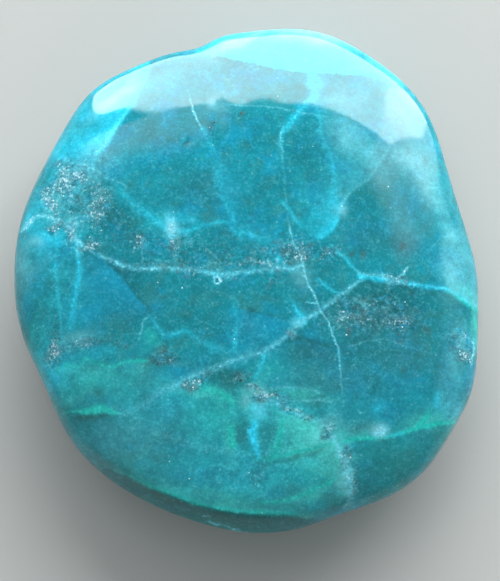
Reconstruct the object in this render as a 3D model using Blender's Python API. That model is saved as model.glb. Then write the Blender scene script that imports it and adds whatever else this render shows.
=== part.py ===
"""A palm stone of chrysocolla: one tumbled, polished pebble that lies on a flat worn on its underside.

The pebble is laid out in millimetres around its middle. +Z is up, +Y is its longer side, and the
finished mesh is moved so that its origin is the bottom centre of its box.
"""

import math

import bpy
import numpy as np

MM = 0.001

# Heights. The waist is the stone's widest line.
THICKNESS = 15.6
WAIST_HEIGHT = 9.0
CROWN_HEIGHT = THICKNESS - WAIST_HEIGHT

# The outline at the waist, seen from above: angle from +X in degrees, radius.
OUTLINE = (
    (0, 25.9),
    (13, 25.25),
    (30, 26.05),
    (44, 28.1),
    (60, 29.1),
    (75, 29.5),
    (90, 28.4),
    (97, 27.85),
    (101, 27.2),
    (107, 27.25),
    (118, 27.5),
    (129, 27.75),
    (140, 26.85),
    (152, 26.2),
    (166, 26.25),
    (180, 26.15),
    (196, 26.05),
    (208, 25.8),
    (220, 26.7),
    (226, 27.2),
    (243, 27.8),
    (258, 28.35),
    (272, 29.1),
    (282, 29.15),
    (290, 28.9),
    (300, 29.45),
    (311, 29.7),
    (323, 28.85),
    (330, 28.55),
    (341, 27.3),
    (351, 26.35),
)

# The curve from the crown down to the waist, and from the waist to the flat that it lies on:
# a higher reach keeps it level for longer, and a higher drop makes its side steeper.
CROWN_REACH = 2.2
CROWN_DROP = 2.6
BELLY_REACH = 2.1
BELLY_DROP = 2.2
FLAT_SHARE = 0.45

# The underside isn't even: its side is steeper than the mean towards BELLY_TURN, and less so opposite.
BELLY_TURN = 70.0
BELLY_CHANGE = 0.35

# The near side has a crisp edge: a low crown ends there, and a steep face drops to the waist.
# It is whole within EDGE_WHOLE degrees of EDGE_TURN, and has gone at EDGE_GONE. The face's height
# is EDGE_FACE at 1 mm in from the waist, and grows with that power of the way in.
EDGE_TURN = 258.0
EDGE_WHOLE = 16.0
EDGE_GONE = 36.0
EDGE_HEIGHT = 2.9
EDGE_REACH = 2.6
EDGE_FACE = 2.7
EDGE_POWER = 0.6
EDGE_SOFTNESS = 0.15

# Shallow swells and hollows of the top: x, y, how wide, how high.
SWELLS = (
    (-13.0, 12.0, 9.0, 0.30),
    (8.0, 15.0, 10.0, 0.25),
    (13.0, -13.0, 9.0, 0.30),
    (-10.0, -12.0, 11.0, 0.25),
    (-3.0, 23.0, 4.0, -0.30),
    (2.0, 1.0, 7.0, -0.20),
)

# Faces worn flatter on the shoulder: which way each one faces (turn, tilt), how deep it cuts and how
# soft its edge is. Wear starts at the waist, and is whole from that share of the crown's height.
WORN_FACES = (
    (30.0, 50.0, 0.5, 0.6),
    (118.0, 55.0, 0.5, 0.6),
)
WHOLE_WEAR = 0.5

# The mesh: rings from the crown to the waist, and how much a ring's drop counts in their spacing.
RINGS = 28
DROP_WEIGHT = 2.0
SPACING_STEPS = 4000

COLOUR = (0.021, 0.262, 0.328, 1.0)
ROUGHNESS = 0.12
REFRACTIVE_INDEX = 1.5


def closed_curve(knots, angles):
    """Radius at each angle, on the smooth closed curve through the knots (degrees, radius)."""
    knot_angle = np.radians([knot[0] for knot in knots])
    radius = np.array([knot[1] for knot in knots])
    count = len(knots)
    gap = np.diff(np.append(knot_angle, knot_angle[0] + 2 * math.pi))
    rise = np.diff(np.append(radius, radius[0])) / gap
    system = np.zeros((count, count))
    right_side = np.zeros(count)
    for i in range(count):
        before = i - 1
        after = (i + 1) % count
        system[i, before] += gap[before]
        system[i, i] += 2 * (gap[before] + gap[i])
        system[i, after] += gap[i]
        right_side[i] = 6 * (rise[i] - rise[before])
    bend = np.linalg.solve(system, right_side)
    turn = np.mod(angles - knot_angle[0], 2 * math.pi) + knot_angle[0]
    span = np.clip(np.searchsorted(knot_angle, turn, side="right") - 1, 0, count - 1)
    after = (span + 1) % count
    along = turn - knot_angle[span]
    slope = rise[span] - gap[span] * (2 * bend[span] + bend[after]) / 6
    cubic = (bend[after] - bend[span]) / (6 * gap[span])
    return radius[span] + along * (slope + along * (bend[span] / 2 + along * cubic))


def fall(share_out, reach, drop):
    """Height left, from 1 at the middle to 0 at the waist, at a share of the way out."""
    return np.maximum(0.0, 1.0 - share_out**reach) ** (1.0 / drop)


def crown(share_out, angle):
    """Height of the top above the waist, with the crisp edge along the near side."""
    smooth = CROWN_HEIGHT * fall(share_out, CROWN_REACH, CROWN_DROP)
    radius = closed_curve(OUTLINE, angle)
    low_crown = CROWN_HEIGHT - (CROWN_HEIGHT - EDGE_HEIGHT) * share_out**EDGE_REACH
    steep_face = EDGE_FACE * (radius * (1.0 - share_out)) ** EDGE_POWER
    crisp = -EDGE_SOFTNESS * np.logaddexp(-low_crown / EDGE_SOFTNESS, -steep_face / EDGE_SOFTNESS)
    away = np.degrees(np.angle(np.exp(1j * (angle - math.radians(EDGE_TURN)))))
    share = np.clip((EDGE_GONE - np.abs(away)) / (EDGE_GONE - EDGE_WHOLE), 0.0, 1.0)
    share = share * share * (3.0 - 2.0 * share)
    return smooth + share * (np.maximum(crisp, 0.0) - smooth)


def belly(share_out, angle):
    """Depth of the underside below the waist. It is level inside the flat."""
    past_flat = np.clip((share_out - FLAT_SHARE) / (1.0 - FLAT_SHARE), 0.0, 1.0)
    drop = BELLY_DROP + BELLY_CHANGE * np.cos(angle - math.radians(BELLY_TURN))
    return WAIST_HEIGHT * fall(past_flat, BELLY_REACH, drop)


def ring_places(rings, height):
    """Where the rings lie from the middle to the waist, closer together where the side is steep."""
    share_out = 1.0 - np.linspace(1.0, 0.0, SPACING_STEPS) ** 3
    mean_radius = np.mean([knot[1] for knot in OUTLINE])
    drop = np.diff(height(share_out)) * DROP_WEIGHT
    step = np.hypot(np.diff(share_out) * mean_radius, drop)
    travelled = np.append(0.0, np.cumsum(step))
    return np.interp(np.linspace(0.0, travelled[-1], rings + 1), travelled, share_out)


def disc(rings):
    """Ring number and angle of each point of a disc whose ring k has 6k points, and its triangles."""
    ring = [0]
    angle = [0.0]
    triangles = []
    for k in range(1, rings + 1):
        ring.extend([k] * (6 * k))
        angle.extend(2 * math.pi * i / (6 * k) for i in range(6 * k))
        outer = 1 + 3 * k * (k - 1)
        inner = 0 if k == 1 else 1 + 3 * (k - 1) * (k - 2)
        inner_count = max(1, 6 * (k - 1))
        for sector in range(6):
            for i in range(k):
                a = outer + sector * k + i
                b = outer + (sector * k + i + 1) % (6 * k)
                c = inner + (sector * (k - 1) + i) % inner_count
                d = inner + (sector * (k - 1) + i + 1) % inner_count
                triangles.append((a, b, c))
                if i < k - 1:
                    triangles.append((c, b, d))
    return np.array(ring), np.array(angle), triangles


def swell(x, y):
    """Height that the swells and hollows add at a place."""
    total = np.zeros_like(x)
    for swell_x, swell_y, width, rise in SWELLS:
        total += rise * np.exp(-((x - swell_x) ** 2 + (y - swell_y) ** 2) / width**2)
    return total


def wear(points, share):
    """The points with the worn faces pressed in, by the share of the wear that each one takes."""
    middle = np.array([0.0, 0.0, WAIST_HEIGHT])
    for turn, tilt, depth, softness in WORN_FACES:
        turn = math.radians(turn)
        tilt = math.radians(tilt)
        level = math.cos(tilt)
        facing = np.array([math.cos(turn) * level, math.sin(turn) * level, math.sin(tilt)])
        out = (points - middle) @ facing
        cut = softness * np.logaddexp(0.0, (out - out.max() + depth) / softness)
        points = points - (share * cut)[:, None] * facing
    return points


def stone_mesh(rings):
    """Points and triangles of the whole stone, in millimetres, standing on its flat."""
    ring, angle, triangles = disc(rings)
    top_out = ring_places(rings, lambda out: CROWN_HEIGHT * fall(out, CROWN_REACH, CROWN_DROP))[ring]
    under_out = ring_places(rings, lambda out: belly(out, 0.0))[ring]
    radius = closed_curve(OUTLINE, angle)
    across = np.stack([np.cos(angle) * radius, np.sin(angle) * radius], axis=1)

    top = np.column_stack([across * top_out[:, None], WAIST_HEIGHT + crown(top_out, angle)])
    above = (top[:, 2] - WAIST_HEIGHT) / CROWN_HEIGHT
    top[:, 2] += above * swell(top[:, 0], top[:, 1])
    top = wear(top, np.clip(above / WHOLE_WEAR, 0.0, 1.0))
    under = np.column_stack([across * under_out[:, None], WAIST_HEIGHT - belly(under_out, angle)])

    waist = ring == rings
    points = np.concatenate([top, under[~waist]])
    under_number = np.arange(len(ring)) + len(top)
    under_number[waist] = np.nonzero(waist)[0]
    turned_over = [tuple(int(under_number[i]) for i in reversed(face)) for face in triangles]
    low = points.min(axis=0)
    high = points.max(axis=0)
    points = points - np.array([(low[0] + high[0]) / 2, (low[1] + high[1]) / 2, low[2]])
    return points, triangles + turned_over


def stone_material():
    """The stone's own blue-green, polished."""
    material = bpy.data.materials.new("stone")
    material.use_nodes = True
    surface = material.node_tree.nodes["Principled BSDF"]
    surface.inputs["Base Color"].default_value = COLOUR
    surface.inputs["Roughness"].default_value = ROUGHNESS
    surface.inputs["Metallic"].default_value = 0.0
    surface.inputs["IOR"].default_value = REFRACTIVE_INDEX
    return material


def build_stone():
    points, triangles = stone_mesh(RINGS)
    mesh = bpy.data.meshes.new("stone")
    mesh.from_pydata((points * MM).tolist(), [], triangles)
    mesh.validate()
    mesh.shade_smooth()
    mesh.materials.append(stone_material())
    stone = bpy.data.objects.new("stone", mesh)
    bpy.context.scene.collection.objects.link(stone)
    return stone


def main():
    for old in list(bpy.data.objects):
        bpy.data.objects.remove(old)
    build_stone()


main()
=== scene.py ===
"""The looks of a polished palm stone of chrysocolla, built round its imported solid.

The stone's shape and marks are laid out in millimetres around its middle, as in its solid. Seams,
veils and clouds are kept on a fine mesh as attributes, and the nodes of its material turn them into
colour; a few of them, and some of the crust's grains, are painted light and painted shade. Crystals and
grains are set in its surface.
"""

import math

import bmesh
import bpy
import numpy as np
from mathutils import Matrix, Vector, noise


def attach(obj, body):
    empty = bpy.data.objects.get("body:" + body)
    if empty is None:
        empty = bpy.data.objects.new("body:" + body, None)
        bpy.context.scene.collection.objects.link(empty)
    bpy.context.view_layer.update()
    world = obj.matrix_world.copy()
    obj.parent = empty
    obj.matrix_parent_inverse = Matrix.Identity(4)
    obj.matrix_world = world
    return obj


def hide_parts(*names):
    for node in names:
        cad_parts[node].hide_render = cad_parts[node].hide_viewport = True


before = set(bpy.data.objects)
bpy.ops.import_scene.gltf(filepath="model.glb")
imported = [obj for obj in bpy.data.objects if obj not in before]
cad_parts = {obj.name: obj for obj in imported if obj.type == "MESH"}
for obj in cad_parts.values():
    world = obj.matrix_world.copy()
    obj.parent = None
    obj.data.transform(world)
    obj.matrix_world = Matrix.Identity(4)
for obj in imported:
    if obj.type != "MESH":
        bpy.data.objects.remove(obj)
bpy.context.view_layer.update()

MM = 0.001

# Heights, as the solid has them. The waist is the stone's widest line.
THICKNESS = 15.6
WAIST_HEIGHT = 9.0
CROWN_HEIGHT = THICKNESS - WAIST_HEIGHT

# The outline at the waist, seen from above: angle from +X in degrees, radius.
OUTLINE = (
    (0, 25.9),
    (13, 25.25),
    (30, 26.05),
    (44, 28.1),
    (60, 29.1),
    (75, 29.5),
    (90, 28.4),
    (97, 27.85),
    (101, 27.2),
    (107, 27.25),
    (118, 27.5),
    (129, 27.75),
    (140, 26.85),
    (152, 26.2),
    (166, 26.25),
    (180, 26.15),
    (196, 26.05),
    (208, 25.8),
    (220, 26.7),
    (226, 27.2),
    (243, 27.8),
    (258, 28.35),
    (272, 29.1),
    (282, 29.15),
    (290, 28.9),
    (300, 29.45),
    (311, 29.7),
    (323, 28.85),
    (330, 28.55),
    (341, 27.3),
    (351, 26.35),
)

# The curve from the crown down to the waist, and from the waist to the flat that it lies on:
# a higher reach keeps it level for longer, and a higher drop makes its side steeper.
CROWN_REACH = 2.2
CROWN_DROP = 2.6
BELLY_REACH = 2.1
BELLY_DROP = 2.2
FLAT_SHARE = 0.45

# The underside isn't even: its side is steeper than the mean towards BELLY_TURN, and less so opposite.
BELLY_TURN = 70.0
BELLY_CHANGE = 0.35

# The near side has a crisp edge: a low crown ends there, and a steep face drops to the waist.
# It is whole within EDGE_WHOLE degrees of EDGE_TURN, and has gone at EDGE_GONE. The face's height
# is EDGE_FACE at 1 mm in from the waist, and grows with that power of the way in.
EDGE_TURN = 258.0
EDGE_WHOLE = 16.0
EDGE_GONE = 36.0
EDGE_HEIGHT = 2.9
EDGE_REACH = 2.6
EDGE_FACE = 2.7
EDGE_POWER = 0.6
EDGE_SOFTNESS = 0.15

# Shallow swells and hollows of the top: x, y, how wide, how high.
SWELLS = (
    (-13.0, 12.0, 9.0, 0.30),
    (8.0, 15.0, 10.0, 0.25),
    (13.0, -13.0, 9.0, 0.30),
    (-10.0, -12.0, 11.0, 0.25),
    (-3.0, 23.0, 4.0, -0.30),
    (2.0, 1.0, 7.0, -0.20),
)

# Faces worn flatter on the shoulder: which way each one faces (turn, tilt), how deep it cuts and how
# soft its edge is. Wear starts at the waist, and is whole from that share of the crown's height.
WORN_FACES = (
    (30.0, 50.0, 0.5, 0.6),
    (118.0, 55.0, 0.5, 0.6),
)
WHOLE_WEAR = 0.5

# The fine mesh: rings from the crown to the waist, and how much a ring's drop counts in their spacing.
RINGS = 128
DROP_WEIGHT = 1.4
SPACING_STEPS = 4000

# Small relief. The polish is a little wavy. A low swell runs down the far side: x, y, its half width
# on the left and on the right, half length, height. Pits have x, y, radius and depth. All of it fades
# within STANDING_FADE of the floor.
WAVE_SIZE = 9.0
WAVE_HEIGHT = 0.010
WAVE_SEED = 5
FAR_SWELL = (-3.7, 18.0, 1.7, 5.0, 6.0, 0.14)
PITS = (
    (-3.2, -1.8, 0.32, 0.12),
    (-10.8, -5.3, 0.35, 0.10),
    (-25.0, 4.2, 0.30, 0.10),
    (-6.5, 14.1, 0.30, 0.05),
    (13.2, -6.1, 0.35, 0.06),
)
STANDING_FADE = 0.5

# How far apart in the noise two fields lie whose seeds are one apart.
NOISE_STEP = (17.3, 5.1, 9.7)

# Seams are lines in the stone. Each place on one has x, y, half width and strength.
PALE_SEAMS = (
    # The far arc.
    ((-2.7, 18.6, 0.09, 0.11), (-0.1, 18.4, 0.09, 0.26), (1.8, 18.3, 0.09, 0.29),
     (3.8, 18.1, 0.09, 0.26), (6.0, 17.6, 0.09, 0.24), (8.3, 17.2, 0.09, 0.19),
     (10.1, 16.7, 0.09, 0.06)),
    # The fine thread on the far left.
    ((-6.4, 19.9, 0.08, 0.29), (-6.0, 18.2, 0.09, 0.72), (-5.5, 16.8, 0.09, 0.72),
     (-5.0, 15.7, 0.08, 0.36)),
    # The branch of the fork, left.
    ((4.2, 15.8, 0.1, 0.18), (3.9, 15.2, 0.11, 0.31), (3.8, 14.2, 0.11, 0.31), (4.0, 13.0, 0.1, 0.21),
     (4.1, 11.4, 0.09, 0.09), (4.3, 9.6, 0.09, 0.12), (4.4, 7.9, 0.09, 0.09), (4.6, 5.9, 0.09, 0.08),
     (4.9, 4.3, 0.09, 0.15)),
    # The upright crack.
    ((4.8, 4.3, 0.1, 0.45), (5.1, 3.1, 0.1, 0.74), (5.5, 2.0, 0.1, 0.74), (6.2, 0.7, 0.11, 0.66),
     (6.3, -0.4, 0.11, 0.59), (6.7, -1.7, 0.1, 0.66), (7.2, -2.9, 0.1, 0.66), (7.8, -4.3, 0.1, 0.74),
     (8.1, -5.2, 0.1, 0.59), (8.9, -6.2, 0.09, 0.66), (9.4, -7.6, 0.09, 0.74), (10.1, -9.5, 0.09, 0.66),
     (10.3, -11.2, 0.09, 0.63), (10.4, -12.6, 0.08, 0.34), (10.5, -14.2, 0.08, 0.18)),
    # Its cross tick.
    ((6.7, -4.3, 0.08, 0.6), (7.3, -4.3, 0.08, 0.84), (8.0, -4.4, 0.08, 0.48)),
    # The vein across the middle.
    ((-16.5, 1.7, 0.14, 0.16), (-15.5, 0.9, 0.18, 0.34), (-14.1, 0.2, 0.23, 0.42),
     (-12.8, -0.3, 0.24, 0.44), (-10.6, -0.4, 0.24, 0.5), (-8.4, -0.4, 0.24, 0.44),
     (-6.2, -0.6, 0.23, 0.44), (-4.5, -0.9, 0.2, 0.5), (-2.3, -1.2, 0.23, 0.44),
     (-0.7, -0.9, 0.23, 0.39), (1.5, -0.7, 0.25, 0.39), (3.7, -0.4, 0.23, 0.44), (5.1, -0.4, 0.2, 0.44),
     (6.0, 0.1, 0.2, 0.39), (6.4, 0.7, 0.15, 0.22)),
    # The slanting vein.
    ((-14.0, -16.4, 0.33, 0.09), (-11.6, -15.8, 0.38, 0.17), (-10.3, -14.8, 0.38, 0.19),
     (-8.9, -13.9, 0.33, 0.28), (-7.2, -13.3, 0.33, 0.43), (-5.6, -12.4, 0.33, 0.46),
     (-3.9, -11.8, 0.27, 0.4), (-1.7, -10.9, 0.27, 0.31), (-0.1, -10.4, 0.27, 0.34),
     (1.8, -9.8, 0.25, 0.34), (3.2, -9.0, 0.25, 0.34), (4.3, -8.1, 0.22, 0.4), (5.9, -6.6, 0.27, 0.52),
     (7.3, -5.7, 0.22, 0.4), (8.7, -4.8, 0.22, 0.4), (10.3, -3.5, 0.22, 0.43), (11.5, -2.6, 0.19, 0.46),
     (12.8, -1.6, 0.15, 0.34)),
    # The white vein on the right.
    ((11.7, -0.3, 0.11, 0.09), (12.8, -1.0, 0.19, 0.26), (13.9, -1.1, 0.19, 0.29),
     (15.3, -1.2, 0.19, 0.27), (16.6, -1.4, 0.17, 0.23), (18.1, -1.7, 0.11, 0.1),
     (20.4, -2.1, 0.11, 0.09), (22.6, -2.4, 0.11, 0.14), (24.0, -3.0, 0.14, 0.17),
     (25.1, -3.6, 0.15, 0.2), (25.8, -3.9, 0.14, 0.17)),
    # Its white spur.
    ((16.7, -1.4, 0.11, 0.66), (17.2, -1.0, 0.15, 0.88), (17.8, -0.3, 0.14, 0.88),
     (18.0, 0.0, 0.09, 0.22)),
    # The lobe's speckled border.
    ((1.6, -14.6, 0.2, 0.24), (4.4, -16.0, 0.25, 0.36), (6.6, -17.0, 0.25, 0.32),
     (8.3, -17.5, 0.26, 0.36), (9.5, -19.1, 0.29, 0.48), (10.6, -21.2, 0.33, 0.56),
     (11.3, -23.2, 0.33, 0.56), (11.6, -25.0, 0.29, 0.44), (10.9, -26.2, 0.23, 0.2)),
    # The white edge of the wedge.
    ((-13.3, 18.2, 0.12, 0.12), (-14.4, 16.6, 0.16, 0.3), (-15.5, 14.7, 0.22, 0.47),
     (-16.5, 13.4, 0.2, 0.45), (-17.1, 12.3, 0.14, 0.2)),
    # The blob.
    ((-8.0, 5.3, 0.15, 0.3), (-8.2, 4.4, 0.34, 0.8), (-8.5, 3.5, 0.32, 0.8), (-8.7, 2.9, 0.15, 0.3)),
    # The pit's rim.
    ((-3.55, -1.95, 0.1, 0.45), (-3.5, -1.5, 0.14, 0.85), (-3.1, -1.35, 0.14, 0.9),
     (-2.8, -1.75, 0.14, 0.9), (-3.05, -2.2, 0.12, 0.8), (-3.5, -2.1, 0.1, 0.5)),
    # The white patch by the right line.
    ((13.9, -18.6, 0.25, 0.45), (14.6, -18.4, 0.5, 0.75), (15.4, -18.1, 0.35, 0.55)),
    # The crust, slanting.
    ((-21.4, 9.9, 0.1, 0.27), (-21.6, 8.9, 0.11, 0.73), (-21.9, 8.0, 0.11, 0.82),
     (-22.3, 7.1, 0.11, 0.64), (-22.8, 6.4, 0.1, 0.18)),
    # The crust, level.
    ((-23.5, 6.2, 0.11, 0.6), (-22.4, 6.1, 0.14, 0.8), (-21.3, 5.7, 0.16, 0.9), (-20.5, 5.3, 0.15, 0.6),
     (-19.6, 4.6, 0.19, 0.8), (-18.9, 3.3, 0.16, 0.7), (-18.6, 2.2, 0.14, 0.5), (-18.7, 1.2, 0.11, 0.3)),
    # The crust, far link.
    ((-20.2, 12.8, 0.18, 0.33), (-19.3, 12.1, 0.18, 0.26), (-18.1, 11.7, 0.25, 0.4),
     (-17.2, 11.3, 0.21, 0.33), (-16.3, 10.6, 0.16, 0.26), (-14.9, 9.9, 0.14, 0.2),
     (-13.4, 9.1, 0.13, 0.13)),
    # The edge on the left.
    ((-25.1, 4.8, 0.17, 0.91), (-24.5, 5.4, 0.25, 1.0), (-23.9, 5.9, 0.23, 1.0),
     (-23.2, 6.3, 0.16, 0.78)),
    # The fine bend, left.
    ((-10.7, -5.7, 0.09, 0.2), (-11.3, -6.5, 0.1, 0.31), (-11.5, -7.6, 0.1, 0.26),
     (-12.1, -8.9, 0.1, 0.1)),
    # The leaf's edge.
    ((16.0, 13.6, 0.14, 0.12), (14.7, 11.6, 0.15, 0.13), (13.7, 9.9, 0.15, 0.13),
     (11.8, 8.5, 0.15, 0.13), (10.8, 7.2, 0.18, 0.31), (10.4, 6.0, 0.16, 0.19)),
    # The thread in the right shoulder.
    ((23.2, 4.1, 0.09, 0.12), (21.6, 3.4, 0.1, 0.14), (20.6, 2.3, 0.1, 0.08), (20.1, 1.3, 0.09, 0.04)),
    # The level threads, right.
    ((11.2, -9.2, 0.1, 0.1), (13.2, -8.6, 0.1, 0.14), (15.0, -8.3, 0.1, 0.1), (16.9, -8.7, 0.1, 0.1),
     (18.7, -9.3, 0.1, 0.07), (20.5, -9.7, 0.1, 0.02)),
    # The rim thread, right.
    ((25.3, -7.5, 0.1, 0.55), (25.3, -8.8, 0.12, 0.85), (25.1, -10.1, 0.1, 0.66),
     (24.9, -10.9, 0.1, 0.11)),
    # The band's far line.
    ((2.4, -14.0, 0.14, 0.18), (3.7, -13.7, 0.15, 0.27), (5.4, -13.7, 0.15, 0.27),
     (7.0, -13.9, 0.15, 0.27), (8.3, -14.4, 0.14, 0.12)),
    # The band's near line.
    ((5.0, -15.3, 0.14, 0.13), (6.5, -15.1, 0.15, 0.23), (7.9, -15.1, 0.15, 0.26),
     (9.5, -15.2, 0.14, 0.13)),
    # The long faint line, left.
    ((-4.5, -2.3, 0.11, 0.05), (-2.9, -3.2, 0.11, 0.07), (-1.1, -4.0, 0.14, 0.11),
     (-0.7, -4.9, 0.11, 0.05)),
    # The thin line up from the vein.
    ((-11.4, 0.3, 0.08, 0.29), (-11.5, 1.7, 0.08, 0.2), (-11.4, 3.1, 0.08, 0.15)),
    # The near streak, one.
    ((-6.2, -27.9, 0.05, 0.35), (-5.2, -28.0, 0.06, 0.45), (-4.2, -28.3, 0.05, 0.22)),
    # The near streak, two.
    ((-4.2, -27.8, 0.05, 0.32), (-3.1, -28.1, 0.06, 0.5), (-2.2, -28.3, 0.06, 0.5),
     (-1.0, -28.7, 0.05, 0.4), (0.4, -28.9, 0.04, 0.2)),
    # The near streak, three.
    ((-4.8, -27.3, 0.05, 0.4), (-3.9, -27.4, 0.05, 0.28)),
    # The link on the far left.
    ((-21.8, 5.6, 0.14, 0.15), (-20.2, 4.7, 0.16, 0.4), (-19.0, 3.6, 0.17, 0.45),
     (-18.0, 2.4, 0.17, 0.45), (-16.9, 1.5, 0.15, 0.3)),
    # The cloud's line.
    ((-13.8, -17.6, 0.23, 0.05), (-10.5, -18.3, 0.28, 0.08), (-7.8, -19.3, 0.34, 0.11),
     (-4.5, -20.2, 0.34, 0.11), (-1.7, -20.6, 0.34, 0.08), (0.4, -21.1, 0.34, 0.04)),
)
CYAN_SEAMS = (
    # The fork's stem.
    ((7.2, 24.7, 0.25, 0.1), (7.4, 22.4, 0.41, 0.28), (7.5, 19.6, 0.42, 0.34), (6.7, 18.6, 0.36, 0.34),
     (5.9, 17.7, 0.42, 0.32), (5.1, 16.6, 0.42, 0.32), (4.5, 15.7, 0.36, 0.31), (3.9, 14.7, 0.25, 0.24),
     (3.8, 13.2, 0.23, 0.12), (3.9, 10.8, 0.23, 0.05)),
    # The white edge of the wedge.
    ((-13.3, 18.2, 0.16, 0.3), (-14.4, 16.6, 0.22, 0.7), (-15.5, 14.7, 0.28, 0.9),
     (-16.5, 13.4, 0.26, 0.85), (-17.1, 12.3, 0.18, 0.5)),
    # The fork's right branch.
    ((7.7, 19.5, 0.29, 0.25), (8.1, 17.4, 0.27, 0.18), (8.4, 15.0, 0.27, 0.18), (9.1, 13.2, 0.27, 0.18),
     (9.6, 11.5, 0.29, 0.21), (9.8, 9.7, 0.36, 0.23), (9.7, 8.0, 0.45, 0.25), (9.3, 6.6, 0.45, 0.14)),
    # The slanting vein, far left.
    ((-15.9, 11.1, 0.29, 0.06), (-14.9, 9.9, 0.29, 0.11), (-14.0, 8.6, 0.31, 0.13),
     (-13.1, 7.6, 0.36, 0.17), (-11.8, 6.5, 0.43, 0.2), (-10.6, 5.6, 0.43, 0.23),
     (-9.5, 4.6, 0.43, 0.23), (-8.5, 3.9, 0.43, 0.2)),
    # The winding vein.
    ((-5.0, 15.7, 0.29, 0.16), (-4.4, 14.5, 0.36, 0.18), (-3.7, 12.9, 0.47, 0.15),
     (-3.2, 11.2, 0.62, 0.16), (-2.7, 9.1, 0.73, 0.18), (-2.1, 7.1, 0.5, 0.16), (-1.6, 5.5, 0.41, 0.18),
     (-0.9, 4.1, 0.36, 0.19), (0.4, 3.5, 0.36, 0.15), (1.8, 2.8, 0.36, 0.1)),
    # The left upright.
    ((-19.1, 3.1, 0.23, 0.21), (-18.7, 1.7, 0.29, 0.39), (-18.5, 0.3, 0.34, 0.43),
     (-18.5, -1.0, 0.3, 0.43), (-18.8, -2.6, 0.29, 0.37), (-19.1, -4.3, 0.35, 0.35),
     (-19.3, -6.0, 0.41, 0.33), (-19.4, -7.3, 0.34, 0.08)),
    # The far left upright.
    ((-21.0, 2.8, 0.18, 0.2), (-21.2, 0.6, 0.19, 0.25), (-21.0, -1.4, 0.21, 0.27),
     (-20.8, -3.7, 0.21, 0.25), (-20.5, -5.5, 0.18, 0.22), (-20.2, -7.7, 0.18, 0.25)),
    # The soft vein, left of the middle.
    ((-10.7, -5.6, 0.18, 0.12), (-9.8, -6.9, 0.29, 0.19), (-8.8, -8.0, 0.33, 0.19),
     (-7.8, -7.7, 0.29, 0.19), (-6.9, -7.5, 0.26, 0.18), (-5.6, -8.1, 0.29, 0.18),
     (-4.3, -8.9, 0.36, 0.18), (-2.8, -9.7, 0.43, 0.14), (-1.3, -10.0, 0.43, 0.05)),
    # The soft upright.
    ((-1.4, -3.8, 0.23, 0.09), (-1.2, -5.4, 0.23, 0.14), (-1.0, -6.8, 0.24, 0.14),
     (-1.1, -8.5, 0.25, 0.21), (-1.4, -9.8, 0.23, 0.09)),
    # The bright vein on the right.
    ((12.6, -1.3, 0.21, 0.4), (14.2, -1.5, 0.24, 0.49), (15.9, -1.7, 0.24, 0.49),
     (17.6, -1.8, 0.23, 0.47), (19.2, -2.1, 0.2, 0.45), (20.9, -2.2, 0.2, 0.42),
     (22.3, -2.4, 0.18, 0.37), (23.5, -2.8, 0.18, 0.3), (24.9, -3.6, 0.16, 0.3),
     (25.7, -3.9, 0.15, 0.26)),
    # The link to it.
    ((9.3, 2.2, 0.15, 0.22), (10.9, 0.8, 0.17, 0.37), (11.8, -0.3, 0.16, 0.37),
     (12.8, -1.3, 0.19, 0.39)),
    # The short thick one.
    ((3.8, 7.3, 0.15, 0.12), (4.2, 6.9, 0.19, 0.31), (4.9, 5.9, 0.21, 0.37), (5.6, 5.0, 0.19, 0.37),
     (6.2, 4.4, 0.15, 0.2)),
    # Into the star.
    ((4.7, -3.6, 0.23, 0.11), (5.2, -4.4, 0.27, 0.22), (5.8, -5.5, 0.36, 0.39), (6.4, -6.5, 0.41, 0.45)),
    # The star's ray.
    ((7.9, -1.6, 0.14, 0.2), (8.7, -2.3, 0.15, 0.41), (9.6, -3.0, 0.16, 0.48), (10.6, -3.3, 0.15, 0.41)),
    # The blue drop.
    ((1.1, -17.5, 0.3, 0.42), (0.7, -18.7, 0.38, 0.85), (1.0, -20.0, 0.38, 0.85),
     (1.4, -21.2, 0.3, 0.42)),
    # The short one, near.
    ((2.2, -9.4, 0.18, 0.22), (1.8, -10.9, 0.19, 0.36), (1.3, -12.0, 0.17, 0.28),
     (0.8, -13.0, 0.14, 0.11)),
    # The blue tip.
    ((15.4, -18.8, 0.17, 0.21), (16.3, -18.7, 0.2, 0.29), (17.3, -18.4, 0.15, 0.21)),
    # The vein from the blob.
    ((-7.5, 3.7, 0.2, 0.19), (-6.2, 3.9, 0.24, 0.21), (-4.5, 4.4, 0.22, 0.25), (-2.7, 4.8, 0.22, 0.26),
     (-1.8, 4.3, 0.22, 0.21), (-1.0, 3.6, 0.22, 0.19), (0.0, 3.1, 0.22, 0.07)),
    # A ray into the speckle.
    ((2.4, 1.4, 0.18, 0.27), (3.3, 1.1, 0.23, 0.41), (4.1, 0.2, 0.18, 0.27)),
)
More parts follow.
